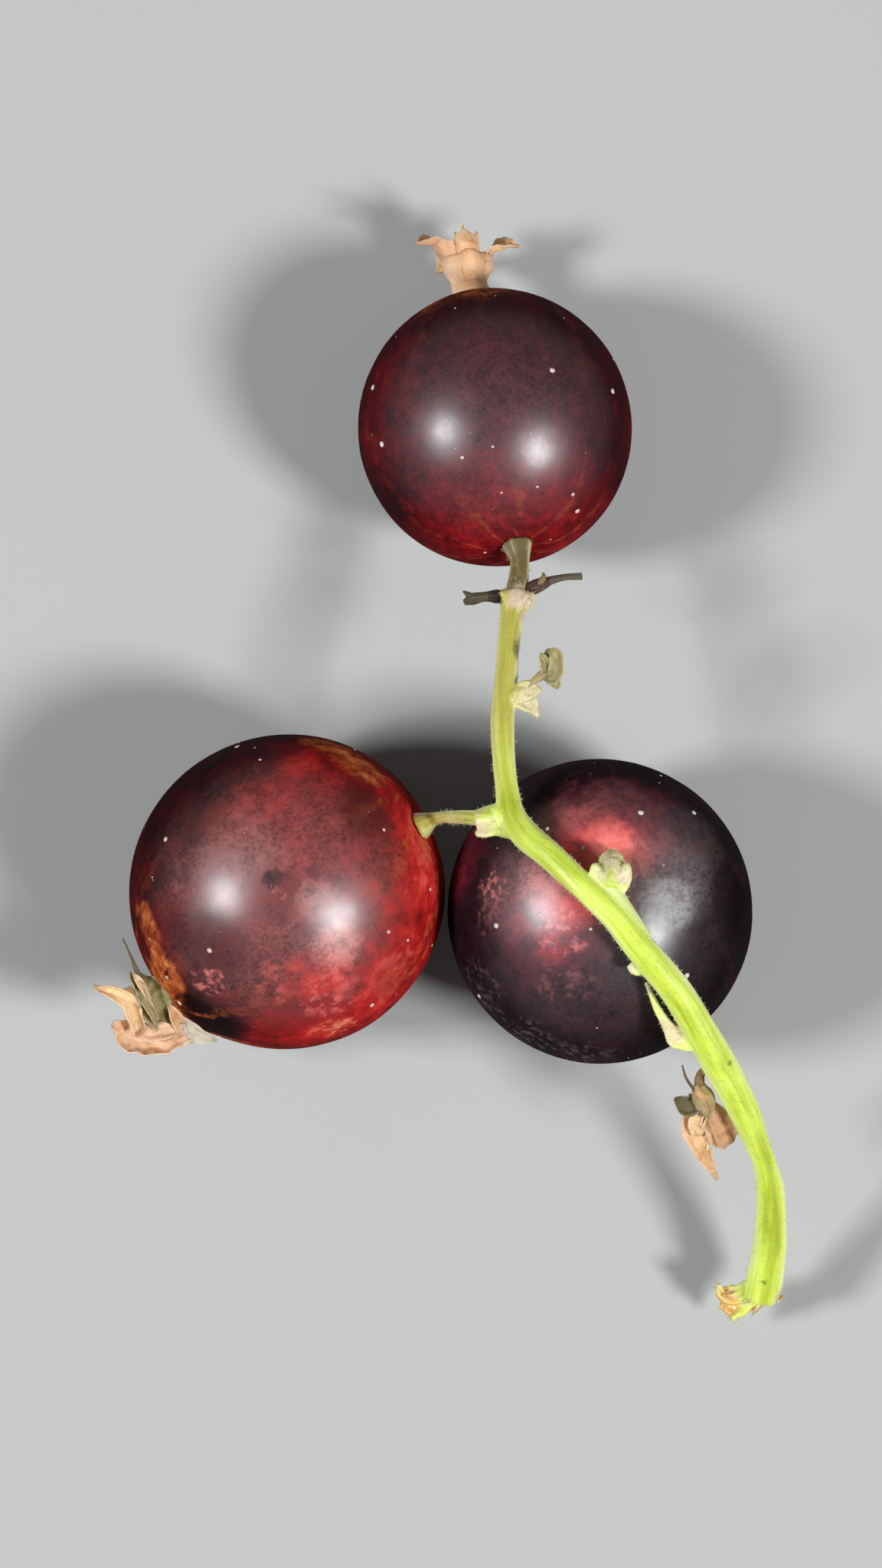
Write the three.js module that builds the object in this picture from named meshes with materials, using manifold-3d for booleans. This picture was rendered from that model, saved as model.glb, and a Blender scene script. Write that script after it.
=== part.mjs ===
// A blackcurrant sprig (a strig) as picked: one arched green stem with three berries on short
// stalks, lying on a flat surface. Millimetres, +Z up, the surface at z = 0. +Y runs from the
// torn end of the stem to the berry at its tip, and the origin is under the middle of the sprig.
//
// The stem arches over the middle berry. The side berry and the end berry rest on small flat
// spots of their own skin, and the middle berry on the dried calyx under it.
import * as THREE from "three";
import { mergeVertices } from "three/addons/utils/BufferGeometryUtils.js";
import Module from "manifold-3d";

const wasm = await Module();
wasm.setup();

// ---- Driving dimensions ----

const SEAT_GAP = 0.06; // clearance where a stalk or a calyx meets its berry
const STEM_SIDES = 15; // three facets to each of the five ridges
const STEM_RIDGES = 5;
const RIDGE_DEPTH = 0.07; // share of the stem's radius

// Each berry: where its centre is, its radius, the way its stalk comes in and the way its calyx
// points out. The two ends aren't quite opposite, as on most real berries.
const BERRIES = {
  side: {
    centre: [-5.57, -4.09, 5.57],
    radius: 5.65,
    stalkWay: [0.87, 0.43, 0.25],
    calyxWay: [-0.6, -0.79, -0.03],
    oblate: -0.015,
  },
  middle: {
    centre: [5.74, -4.78, 5.85],
    radius: 5.5,
    stalkWay: [0.05, 0.33, 0.94],
    calyxWay: [-0.05, -0.42, -0.91],
    oblate: 0.02,
  },
  end: {
    centre: [1.95, 12.7, 4.88],
    radius: 4.95,
    stalkWay: [0.16, -0.89, 0.43],
    calyxWay: [-0.16, 0.94, -0.3],
    oblate: -0.02,
  },
};
const DIMPLE_DEPTH = 0.28; // the hollow that the stalk's foot sits in
const DIMPLE_WIDTH = 1.25;
const CROWN_HEIGHT = 0.16; // the low rise that the calyx stands on

// The stem's middle line from the torn end to the last node: x, y, z and radius. It swells where
// a stalk or bract leaves it and is thinner beyond each node.
const STEM_ROUTE = [
  [11.7, -18.85, 2.6, 0.69],
  [11.82, -18.1, 3.1, 0.67],
  [11.94, -17.1, 3.85, 0.62],
  [11.94, -16.1, 4.75, 0.55],
  [11.86, -14.9, 5.85, 0.49],
  [11.66, -13.9, 6.75, 0.43],
  [11.35, -13.1, 7.45, 0.45],
  [10.93, -12.1, 8.3, 0.55],
  [10.4, -11.05, 9.15, 0.6],
  [9.86, -10.1, 9.85, 0.63],
  [9.2, -8.95, 10.6, 0.59],
  [8.35, -7.6, 11.3, 0.56],
  [7.5, -6.55, 11.75, 0.56],
  [6.75, -5.75, 11.95, 0.56],
  [6.05, -5.0, 12.05, 0.57],
  [5.45, -4.4, 12.0, 0.57],
  [4.8, -3.75, 11.85, 0.51],
  [3.8, -2.75, 11.3, 0.5],
  [2.95, -1.95, 10.65, 0.52],
  [2.5, -1.25, 10.2, 0.48],
  [2.33, -0.3, 9.85, 0.41],
  [2.22, 0.9, 9.55, 0.41],
  [2.19, 2.1, 9.25, 0.42],
  [2.28, 3.1, 8.95, 0.42],
  [2.36, 4.3, 8.6, 0.39],
  [2.48, 5.5, 8.2, 0.42],
  [2.6, 6.2, 7.95, 0.5],
  [2.64, 6.65, 7.8, 0.58],
];

// ---- Shapes ----

const vec = (p) => new THREE.Vector3(p[0], p[1], p[2]);
const way = (p) => vec(p).normalize();

/** The same draws in [0, 1) on every run. */
function seeded(seed) {
  let state = seed;
  return () => {
    state = (state + 0x6d2b79f5) | 0;
    let mixed = Math.imul(state ^ (state >>> 15), 1 | state);
    mixed = (mixed + Math.imul(mixed ^ (mixed >>> 7), 61 | mixed)) ^ mixed;
    return ((mixed ^ (mixed >>> 14)) >>> 0) / 4294967296;
  };
}

/** A three.js geometry as a closed manifold-3d solid. */
function solidOf(geometry) {
  const bare = geometry.clone();
  bare.deleteAttribute("normal");
  bare.deleteAttribute("uv");
  const merged = mergeVertices(bare, 1e-5);
  return new wasm.Manifold(
    new wasm.Mesh({
      numProp: 3,
      vertProperties: merged.attributes.position.array,
      triVerts: new Uint32Array(merged.index.array),
    }),
  );
}

/** A manifold-3d solid as a three.js geometry. */
function geometryOf(solid) {
  const mesh = solid.getMesh();
  const geometry = new THREE.BufferGeometry();
  geometry.setAttribute(
    "position",
    new THREE.BufferAttribute(mesh.vertProperties, 3),
  );
  geometry.setIndex(new THREE.BufferAttribute(mesh.triVerts, 1));
  geometry.computeVertexNormals();
  return geometry;
}

/** Closes a row of rings, each a list of points, into one skin with a fan at either end. */
function skinOf(rings, startTip, endTip) {
  const sides = rings[0].length;
  const points = [startTip, ...rings.flat(), endTip];
  const at = (ring, side) => 1 + ring * sides + (side % sides);
  const faces = [];
  for (let side = 0; side < sides; side++) {
    faces.push(0, at(0, side + 1), at(0, side));
    faces.push(points.length - 1, at(rings.length - 1, side), at(rings.length - 1, side + 1));
    for (let ring = 0; ring + 1 < rings.length; ring++) {
      faces.push(at(ring, side), at(ring, side + 1), at(ring + 1, side));
      faces.push(at(ring, side + 1), at(ring + 1, side + 1), at(ring + 1, side));
    }
  }
  return new THREE.BufferGeometry().setFromPoints(points).setIndex(faces);
}

/**
 * A limb along a smooth curve through route's points, each x, y, z and radius. width(angle, along)
 * scales the section, and flat squeezes it across the way that broadside points.
 */
function limb(route, { sides = 8, steps = 12, width = () => 1, flat = 1, broadside = null } = {}) {
  const curve = new THREE.CatmullRomCurve3(route.map(vec), false, "centripetal");
  const frames = curve.computeFrenetFrames(steps, false);
  const rings = [];
  for (let step = 0; step <= steps; step++) {
    const along = step / steps;
    const centre = curve.getPointAt(along);
    // getPointAt spaces points evenly, so the radius is looked up at the curve's own parameter
    const place = curve.getUtoTmapping(along) * (route.length - 1);
    const before = Math.min(Math.floor(place), route.length - 2);
    const share = place - before;
    const radius = route[before][3] * (1 - share) + route[before + 1][3] * share;
    let across = frames.normals[step].clone();
    let up = frames.binormals[step].clone();
    if (broadside) {
      up = broadside.clone().addScaledVector(frames.tangents[step], -broadside.dot(frames.tangents[step]));
      up.normalize();
      across = up.clone().cross(frames.tangents[step]);
    }
    const ring = [];
    for (let side = 0; side < sides; side++) {
      const angle = (side / sides) * 2 * Math.PI;
      const reach = radius * width(angle, along);
      ring.push(
        centre
          .clone()
          .addScaledVector(across, reach * Math.cos(angle))
          .addScaledVector(up, reach * flat * Math.sin(angle)),
      );
    }
    rings.push(ring);
  }
  return skinOf(rings, curve.getPointAt(0), curve.getPointAt(1));
}

const join = (geometries) => geometries.map(solidOf).reduce((whole, next) => whole.add(next));

/** Cuts away whatever of a solid is below the surface that the sprig lies on. */
function cutAtSurface(solid) {
  const block = new THREE.BoxGeometry(60, 60, 10).translate(0, 0, -5);
  return solid.subtract(solidOf(block));
}

// ---- Berries ----

const BERRY_MERIDIANS = 40;
const BERRY_PARALLELS = 24;

/** A round berry, a little long or flat along its axis, with a dimple for the stalk. */
function berry({ centre, radius, stalkWay, calyxWay, oblate }) {
  const stalk = way(stalkWay);
  const calyx = way(calyxWay);
  const axis = stalk.clone().sub(calyx).normalize();
  const ball = new THREE.SphereGeometry(1, BERRY_MERIDIANS, BERRY_PARALLELS);
  ball.applyQuaternion(new THREE.Quaternion().setFromUnitVectors(new THREE.Vector3(0, 1, 0), axis));
  const place = ball.attributes.position;
  const out = new THREE.Vector3();
  for (let i = 0; i < place.count; i++) {
    out.fromBufferAttribute(place, i).normalize();
    const fromStalk = (radius * out.angleTo(stalk)) / DIMPLE_WIDTH;
    const fromCalyx = (radius * out.angleTo(calyx)) / DIMPLE_WIDTH;
    const reach =
      radius * (1 - oblate * out.dot(axis) ** 2) -
      DIMPLE_DEPTH * Math.exp(-(fromStalk ** 2)) +
      CROWN_HEIGHT * Math.exp(-(fromCalyx ** 2));
    place.setXYZ(
      i,
      centre[0] + out.x * reach,
      centre[1] + out.y * reach,
      centre[2] + out.z * reach,
    );
  }
  return cutAtSurface(solidOf(ball));
}

/** The point at a height over the skin of a berry, along one of its two ends. */
function overBerry(name, end, height) {
  const { centre, radius, [end]: direction, oblate } = BERRIES[name];
  const rise = end === "stalkWay" ? -DIMPLE_DEPTH : CROWN_HEIGHT;
  return vec(centre).addScaledVector(way(direction), radius * (1 - oblate) + rise + height);
}

/** The room that a berry takes up with the clearance round it. */
function berryRoom(name) {
  const { centre, radius, oblate } = BERRIES[name];
  const reach = radius * (1 + Math.abs(oblate)) + SEAT_GAP;
  return solidOf(new THREE.SphereGeometry(reach, 48, 32).translate(...centre));
}

// ---- The green stem, its stalks and bracts ----

const TEAR = [0.05, -0.15, 0.1, 0.3, -0.1, 0.15, 0.25, 0.7, 0.45, 0.85, 0.4, 0.5, 0.1, 0.2, -0.1];

/** The ridged stem, with its first ring torn to uneven lengths. */
function mainStem() {
  const ridge = (angle) => 1 + RIDGE_DEPTH * Math.cos(STEM_RIDGES * angle);
  const stem = limb(STEM_ROUTE, { sides: STEM_SIDES, steps: 56, width: ridge });
  const place = stem.attributes.position;
  const outward = vec(STEM_ROUTE[0]).sub(vec(STEM_ROUTE[1])).normalize();
  TEAR.forEach((reach, side) => {
    const i = 1 + side;
    place.setXYZ(
      i,
      place.getX(i) + outward.x * reach,
      place.getY(i) + outward.y * reach,
      place.getZ(i) + outward.z * reach,
    );
  });
  place.setXYZ(
    0,
    place.getX(0) - 0.35 * outward.x,
    place.getY(0) - 0.35 * outward.y,
    place.getZ(0) - 0.35 * outward.z,
  );
  return stem;
}

/** A stalk from a point in the stem through its bends to a flared foot on a berry. */
function stalk(name, from, bends, radius, footRadius) {
  const foot = overBerry(name, "stalkWay", 0.08 + SEAT_GAP);
  const ankle = overBerry(name, "stalkWay", 0.65);
  return limb(
    [from, ...bends, [...ankle.toArray(), radius], [...foot.toArray(), footRadius]],
    { sides: 9, steps: 12 },
  );
}

/** The cup at a node: a short flared sleeve with a toothed lip, round what grows out of it. */
function cup(from, to, radius, lip, phase) {
  const teeth = (angle, along) => 1 + 0.28 * along ** 2 * Math.cos(3 * angle + phase);
  return limb(
    [
      [...from, radius],
      [...vec(from).lerp(vec(to), 0.55).toArray(), 0.8 * lip],
      [...to, lip],
    ],
    { sides: 12, steps: 4, width: teeth },
  );
}

/** A small bract: a flattened pointed scale from a point in the stem. */
function bract(from, bend, tip, breadth, facing) {
  return limb(
    [
      [...from, 0.6 * breadth],
      [...bend, breadth],
      [...tip, 0.22 * breadth],
    ],
    { sides: 8, steps: 6, flat: 0.62, broadside: way(facing) },
  );
}

function stem() {
  const pieces = [
    mainStem(),
    // the side berry's stalk, which leaves the fork and droops to the berry
    stalk(
      "side",
      [2.45, -1.5, 10.15, 0.4],
      [[1.4, -1.42, 9.75, 0.29], [0.5, -1.38, 8.75, 0.25]],
      0.25,
      0.52,
    ),
    cup([2.5, -1.5, 10.2], [1.55, -1.5, 9.85], 0.46, 0.44, 0.4),
    bract([1.95, -1.85, 10.15], [1.45, -1.95, 10.1], [1.1, -1.75, 10.05], 0.36, [0.2, 0.3, 1]),
    // the middle berry's stalk, short, from the cup on the stem's right
    stalk("middle", [5.4, -4.1, 11.8, 0.42], [[5.95, -3.45, 11.6, 0.4]], 0.36, 0.5),
    cup([5.4, -4.2, 11.85], [6.05, -3.4, 11.65], 0.48, 0.5, 1.9),
    bract([5.4, -3.9, 11.9], [5.65, -3.3, 12.1], [5.65, -2.75, 12.15], 0.38, [-0.4, 0.3, 1]),
    bract([6.0, -4.05, 11.85], [6.45, -3.5, 11.95], [6.5, -2.95, 12.0], 0.38, [0.5, -0.2, 1]),
    // the end berry's stalk, which carries on beyond the last node
    stalk("end", [2.62, 6.3, 7.9, 0.42], [[2.76, 7.0, 7.6, 0.37]], 0.36, 0.55),
    cup([2.6, 6.1, 7.95], [2.7, 6.8, 7.68], 0.5, 0.58, 2.6),
    // the cup of the flower that withered on the upper stem
    cup([2.25, 2.8, 9.05], [3.05, 3.05, 9.15], 0.42, 0.4, 0),
    bract([2.6, 2.8, 9.05], [3.05, 2.65, 9.1], [3.45, 2.25, 9.1], 0.34, [0.3, 0.3, 1]),
    bract([2.7, 3.05, 9.1], [3.2, 3.05, 9.25], [3.7, 2.95, 9.3], 0.32, [0, 0.2, 1]),
    // the bracts down the lower stem
    bract([9.0, -9.4, 10.35], [8.15, -9.0, 10.35], [7.35, -7.75, 10.85], 0.4, [-0.3, 0.2, 1]),
    bract([7.3, -6.85, 11.6], [6.75, -6.75, 11.7], [6.45, -6.35, 11.8], 0.33, [-0.3, 0.2, 1]),
    // two strips of skin left hanging at the tear
    limb(
      [
        [11.5, -18.5, 2.75, 0.4],
        [11.0, -19.05, 2.4, 0.36],
        [10.5, -19.3, 2.25, 0.33],
        [10.2, -18.95, 2.3, 0.26],
        [10.25, -18.55, 2.4, 0.12],
      ],
      { sides: 7, steps: 9 },
    ),
    limb(
      [[11.5, -18.6, 2.5, 0.42], [11.0, -19.3, 2.0, 0.34], [10.72, -19.9, 1.6, 0.16]],
      { sides: 7, steps: 6 },
    ),
  ];
  return join(pieces);
}

// ---- Dried flower parts, which are brown ----

/** A papery lobe through points of x, y, z and half breadth, its flat side towards facing. */
function lobe(points, facing) {
  return limb(points, { sides: 7, steps: 7, flat: 0.62, broadside: way(facing) });
}

/**
 * A dried flower that stands at a point and faces along a way: a neck that opens into a ring of
 * lobes, each bent its own way. lobes gives each lobe's length.
 */
function driedFlower(at, facing, { neck, mouth, depth, lobes, spread, curl, breadth, seed }) {
  const draw = seeded(seed);
  const turn = new THREE.Quaternion().setFromUnitVectors(new THREE.Vector3(0, 0, 1), way(facing));
  const put = (x, y, z) => new THREE.Vector3(x, y, z).applyQuaternion(turn).add(at).toArray();
  const pieces = [
    limb(
      [
        [...put(0, 0, 0), neck],
        [...put(0, 0, 0.3 * depth), 0.8 * neck],
        [...put(0, 0, 0.75 * depth), 0.9 * mouth],
        [...put(0, 0, depth), 0.7 * mouth],
      ],
      { sides: 10, steps: 5 },
    ),
  ];
  lobes.forEach((length, i) => {
    const angle = ((i + 0.35 * draw()) / lobes.length) * 2 * Math.PI;
    const bend = curl * (0.6 + 0.8 * draw());
    const twist = 0.5 * (draw() - 0.5);
    const points = [0, 0.35, 0.7, 1].map((share, k) => {
      const lean = spread + bend * share;
      const out = 0.55 * mouth + length * share * Math.sin(lean);
      const height = 0.55 * depth + length * share * Math.cos(lean);
      const swing = angle + twist * share;
      const half = breadth * [0.9, 1.1, 0.85, 0.35][k];
      return [...put(out * Math.cos(swing), out * Math.sin(swing), height), half];
    });
    const inner = new THREE.Vector3(-Math.cos(angle), -Math.sin(angle), 0.5).applyQuaternion(turn);
    pieces.push(lobe(points, inner.toArray()));
  });
  return join(pieces);
}

/** A dried calyx standing straight on the far end of a berry. */
function calyx(name, shape) {
  return driedFlower(overBerry(name, "calyxWay", 0.05 + SEAT_GAP), BERRIES[name].calyxWay, shape);
}

// The lobes of the side berry's bent calyx: the way each one's flat side faces, and its route with
// its half breadth.
const BENT_LOBES = [
  // the broad lobe below, cupped up at its end
  {
    facing: [0.4, 0.6, 1],
    route: [
      [-9.8, -9.3, 5.5, 0.6],
      [-10.6, -9.6, 5.4, 0.75],
      [-11.35, -9.35, 5.9, 0.7],
      [-11.65, -8.85, 6.6, 0.4],
    ],
  },
  // the rolled lobe that points left
  {
    facing: [0.3, 0.3, 1],
    route: [
      [-10.5, -9.0, 5.8, 0.5],
      [-11.1, -8.5, 6.3, 0.55],
      [-11.5, -7.95, 6.6, 0.5],
      [-12.45, -7.6, 6.3, 0.24],
    ],
  },
  // the upper lobe, which leans back over the berry's side
  {
    facing: [0.5, -0.2, 1],
    route: [
      [-10.1, -8.9, 6.0, 0.5],
      [-10.55, -8.2, 6.4, 0.6],
      [-10.95, -7.5, 6.6, 0.5],
      [-11.15, -6.95, 6.5, 0.3],
    ],
  },
  // the two lobes underneath
  {
    facing: [0.5, 0.3, -0.6],
    route: [
      [-10.2, -9.1, 5.2, 0.5],
      [-10.9, -9.2, 4.7, 0.6],
      [-11.4, -8.8, 4.1, 0.5],
      [-11.5, -8.5, 3.7, 0.25],
    ],
  },
  {
    facing: [0.5, -0.3, -0.6],
    route: [
      [-10.1, -8.9, 5.2, 0.5],
      [-10.8, -8.3, 4.8, 0.55],
      [-11.35, -7.9, 4.5, 0.45],
      [-11.8, -7.75, 4.2, 0.22],
    ],
  },
];

/** The side berry's calyx, which is bent over to the left with its lobes rolled and torn. */
function bentCalyx() {
  const foot = overBerry("side", "calyxWay", 0.05 + SEAT_GAP).toArray();
  const neck = limb(
    [[...foot, 0.72], [-9.6, -9.2, 5.5, 0.66], [-10.2, -9.15, 5.6, 0.8], [-10.75, -8.9, 5.7, 0.75]],
    { sides: 11, steps: 7 },
  );
  return join([neck, ...BENT_LOBES.map(({ route, facing }) => lobe(route, facing))]);
}

// The lobes of the flower that withered by the lower stem.
const FLOWER_LOBES = [
  {
    facing: [0.2, 0.2, 1],
    route: [
      [9.2, -11.6, 8.5, 0.36],
      [8.75, -11.7, 8.6, 0.45],
      [8.35, -11.45, 8.8, 0.3],
    ],
  },
  {
    facing: [-0.2, 0.3, 1],
    route: [
      [9.35, -12.0, 8.2, 0.4],
      [9.0, -12.6, 7.9, 0.42],
      [9.35, -13.4, 7.3, 0.38],
      [9.9, -14.4, 6.7, 0.16],
    ],
  },
  {
    facing: [0.2, 0.2, 1],
    route: [
      [9.5, -11.9, 8.1, 0.42],
      [9.95, -12.5, 7.5, 0.55],
      [10.25, -13.15, 6.8, 0.3],
    ],
  },
  {
    facing: [-0.5, 0.3, 0.5],
    route: [
      [9.5, -12.0, 8.0, 0.35],
      [9.3, -12.6, 7.2, 0.4],
      [9.0, -12.9, 6.5, 0.18],
    ],
  },
];

/** The withered flower, hanging from its own dried knob. */
function witheredFlower() {
  const knob = limb(
    [
      [9.5, -10.25, 9.45, 0.15],
      [9.24, -10.5, 9.2, 0.17],
      [9.2, -10.8, 9.05, 0.22],
      [9.25, -11.15, 8.85, 0.34],
      [9.42, -11.6, 8.55, 0.42],
      [9.5, -12.0, 8.25, 0.4],
      [9.55, -12.3, 8.0, 0.3],
    ],
    { sides: 9, steps: 10 },
  );
  return join([knob, ...FLOWER_LOBES.map(({ route, facing }) => lobe(route, facing))]);
}

/** The bud that withered on the upper stem, hunched on its thin stalk. */
function witheredBud() {
  return join([
    limb(
      [
        [3.05, 3.15, 9.15, 0.14],
        [3.35, 3.5, 9.35, 0.15],
        [3.6, 3.66, 9.45, 0.2],
        [3.85, 3.75, 9.5, 0.34],
        [4.02, 4.05, 9.55, 0.42],
        [3.98, 4.4, 9.6, 0.36],
        [3.7, 4.55, 9.65, 0.18],
      ],
      { sides: 9, steps: 14, width: (angle) => 1 + 0.1 * Math.cos(3 * angle) },
    ),
    limb(
      [[4.0, 3.9, 9.5, 0.3], [4.12, 3.5, 9.45, 0.25], [4.1, 3.25, 9.4, 0.13]],
      { sides: 7, steps: 4 },
    ),
    limb(
      [[4.05, 4.2, 9.6, 0.28], [4.22, 4.5, 9.65, 0.18], [4.25, 4.65, 9.65, 0.1]],
      { sides: 7, steps: 4 },
    ),
  ]);
}

// the two stalks at the last node whose flowers dropped
const LEFT_STALK = [
  [2.35, 6.5, 7.85, 0.24],
  [1.98, 6.52, 7.85, 0.25],
  [1.5, 6.5, 7.75, 0.19],
  [1.1, 6.42, 7.65, 0.25],
  [0.85, 6.3, 7.55, 0.16],
];
const RIGHT_STALK = [
  [2.95, 6.65, 7.75, 0.2],
  [3.35, 6.85, 7.75, 0.27],
  [3.75, 7.03, 7.7, 0.26],
  [4.4, 7.2, 7.6, 0.13],
  [5.05, 7.25, 7.5, 0.16],
];

/** A dried stalk whose flower dropped. */
function deadStalk(route) {
  return solidOf(limb(route, { sides: 7, steps: 9 }));
}

// ---- Materials ----

const finish = (color, roughness) => new THREE.MeshStandardMaterial({ color, roughness, metalness: 0 });
const RED_SKIN = finish(0x7a1a1e, 0.3);
const PURPLE_SKIN = finish(0x2c1a20, 0.32);
const WINE_SKIN = finish(0x430c10, 0.3);
const GREEN_STEM = finish(0xb5cc45, 0.5);
const DRY_BROWN = finish(0xb98a5e, 0.85);
const DRY_OLIVE = finish(0x9a9160, 0.85);

// ---- The sprig ----

const sprig = new THREE.Group();

function add(name, solid, material) {
  const mesh = new THREE.Mesh(geometryOf(solid), material);
  mesh.name = name;
  sprig.add(mesh);
}

const greenStem = stem();
add("stem", greenStem, GREEN_STEM);
add("berry_side", berry(BERRIES.side), RED_SKIN);
add("berry_middle", berry(BERRIES.middle), PURPLE_SKIN);
add("berry_end", berry(BERRIES.end), WINE_SKIN);

add("calyx_side", bentCalyx().subtract(berryRoom("side")), DRY_BROWN);
add(
  "calyx_middle",
  cutAtSurface(
    calyx("middle", {
      neck: 0.8, mouth: 0.9, depth: 0.75, lobes: [0.9, 0.8, 1.0, 0.8, 0.9],
      spread: 1.0, curl: 0.5, breadth: 0.5, seed: 5,
    }),
  ),
  DRY_BROWN,
);
add(
  "calyx_end",
  calyx("end", {
    neck: 0.72, mouth: 0.85, depth: 1.4, lobes: [1.5, 1.7, 1.4, 1.9, 1.5],
    spread: 0.35, curl: 0.8, breadth: 0.55, seed: 23,
  }),
  DRY_BROWN,
);

// what grows out of the stem starts inside it and is cut back to its skin
add("withered_bud", witheredBud().subtract(greenStem), DRY_OLIVE);
add("dead_stalk_left", deadStalk(LEFT_STALK).subtract(greenStem), DRY_OLIVE);
add("dead_stalk_right", deadStalk(RIGHT_STALK).subtract(greenStem), DRY_BROWN);
add("withered_flower", witheredFlower().subtract(greenStem), DRY_BROWN);

export default sprig;
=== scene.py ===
import math

import bmesh
import bpy
import numpy as np
from mathutils import Matrix, Vector


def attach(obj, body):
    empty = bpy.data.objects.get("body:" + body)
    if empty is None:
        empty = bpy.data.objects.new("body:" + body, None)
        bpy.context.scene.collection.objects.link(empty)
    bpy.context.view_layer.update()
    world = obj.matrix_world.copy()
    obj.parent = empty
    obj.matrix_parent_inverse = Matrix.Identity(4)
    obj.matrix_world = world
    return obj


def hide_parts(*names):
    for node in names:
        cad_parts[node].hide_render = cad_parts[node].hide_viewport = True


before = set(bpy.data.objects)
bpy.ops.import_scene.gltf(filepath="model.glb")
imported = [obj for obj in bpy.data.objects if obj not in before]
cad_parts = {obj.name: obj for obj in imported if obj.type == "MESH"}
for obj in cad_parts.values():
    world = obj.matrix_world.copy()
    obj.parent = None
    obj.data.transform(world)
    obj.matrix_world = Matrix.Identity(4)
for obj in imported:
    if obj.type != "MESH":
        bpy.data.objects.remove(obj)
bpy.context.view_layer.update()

# A blackcurrant sprig: one green stem with three berries, lying on a table. Shapes are worked out
# in millimetres, +Z up, with the table at z = 0, and scaled to metres when each piece is finished.
MM = 0.001

# ---- Sizes ----

DIMPLE_DEPTH = 0.28
DIMPLE_WIDTH = 1.25
CROWN_HEIGHT = 0.16
BERRY_DETAIL = 7
SPECK_SIZE = 0.13
SPECKS = 0.16  # on each square millimetre
STEM_VOXEL = 0.05
STEM_RIBS = 5
RIB_RISE = 0.04
FIBRE_RISE = 0.008
HAIRS = 24.0  # on each square millimetre
HAIR_LENGTH = 0.13
HAIR_GIRTH = 0.011
TUBE_GAP = 0.01
TUBE_THICKNESS = 0.09
TUBE_PLEATS = 5

# these are in metres, and the angle in degrees
TABLE_REACH = 0.6
SOFTBOX_AWAY = 0.6
SOFTBOX_SIZE = 0.13
CAMERA_PLACE = (0.0, -0.0002, 0.262)
CAMERA_ANGLE = 12.6

BERRIES = {
    "side": {
        "centre": (-5.57, -4.09, 5.57), "radius": 5.65, "oblate": -0.015,
        "stalk": (0.87, 0.43, 0.25), "calyx": (-0.6, -0.79, -0.03),
    },
    "middle": {
        "centre": (5.74, -4.78, 5.85), "radius": 5.5, "oblate": 0.02,
        "stalk": (0.05, 0.33, 0.94), "calyx": (-0.05, -0.42, -0.91),
    },
    "end": {
        "centre": (1.95, 12.7, 4.88), "radius": 4.95, "oblate": -0.02,
        "stalk": (0.16, -0.89, 0.43), "calyx": (-0.16, 0.94, -0.3),
    },
}

# x, y, z and radius down the middle of the stem, from its torn end to its last node
STEM_ROUTE = [
    (11.7, -18.85, 2.6, 0.69),
    (11.82, -18.1, 3.1, 0.67),
    (11.94, -17.1, 3.85, 0.62),
    (11.94, -16.1, 4.75, 0.57),
    (11.87, -14.9, 5.85, 0.52),
    (11.66, -13.9, 6.75, 0.43),
    (11.35, -13.1, 7.45, 0.45),
    (10.93, -12.1, 8.3, 0.55),
    (10.4, -11.05, 9.15, 0.6),
    (9.86, -10.1, 9.85, 0.63),
    (9.2, -8.95, 10.6, 0.59),
    (8.35, -7.6, 11.3, 0.56),
    (7.5, -6.55, 11.75, 0.56),
    (6.79, -5.71, 11.95, 0.53),
    (6.14, -4.9, 12.05, 0.5),
    (5.53, -4.3, 12.0, 0.49),
    (4.86, -3.67, 11.85, 0.47),
    (3.84, -2.7, 11.3, 0.49),
    (2.95, -1.95, 10.65, 0.52),
    (2.5, -1.25, 10.2, 0.48),
    (2.33, -0.3, 9.85, 0.41),
    (2.22, 0.9, 9.55, 0.41),
    (2.19, 2.1, 9.25, 0.42),
    (2.28, 3.1, 8.95, 0.42),
    (2.36, 4.3, 8.6, 0.39),
    (2.48, 5.5, 8.2, 0.42),
    (2.6, 6.2, 7.95, 0.5),
    (2.64, 6.65, 7.8, 0.58),
]


def unit(way):
    way = np.asarray(way, float)
    return way / np.linalg.norm(way)


def over_berry(name, end, height):
    """The point at a height over the skin of a berry, at its stalk or its calyx."""
    berry = BERRIES[name]
    rise = -DIMPLE_DEPTH if end == "stalk" else CROWN_HEIGHT
    reach = berry["radius"] * (1 - berry["oblate"]) + rise + height
    return tuple(np.array(berry["centre"]) + unit(berry[end]) * reach)


def colour(red, green, blue):
    """A colour as the shaders take it, from how it looks on a screen, 0 to 255."""
    parts = (part / 255 for part in (red, green, blue))
    return tuple(p / 12.92 if p <= 0.04045 else ((p + 0.055) / 1.055) ** 2.4 for p in parts)


# ---- Node trees ----


class Value:
    """The output of a node. A sum on it adds the maths node that works it out."""

    def __init__(self, board, socket):
        self.board = board
        self.socket = socket
        self.wide = socket.type in ("VECTOR", "RGBA")

    def __add__(self, other):
        return self.board.maths("ADD", self, other)

    def __sub__(self, other):
        return self.board.maths("SUBTRACT", self, other)

    def __rsub__(self, other):
        return self.board.maths("SUBTRACT", other, self)

    def __mul__(self, other):
        return self.board.maths("MULTIPLY", self, other)

    def __truediv__(self, other):
        return self.board.maths("DIVIDE", self, other)

    def __rtruediv__(self, other):
        return self.board.maths("DIVIDE", other, self)

    __radd__ = __add__
    __rmul__ = __mul__

    def beside(self, name):
        """Another output of the same node."""
        return Value(self.board, self.socket.node.outputs[name])


def set_stops(ramp, stops):
    while len(ramp.elements) < len(stops):
        ramp.elements.new(1.0)
    for element, (place, tint) in zip(ramp.elements, stops):
        element.position = place
        element.color = (*colour(*tint), 1.0)


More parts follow.
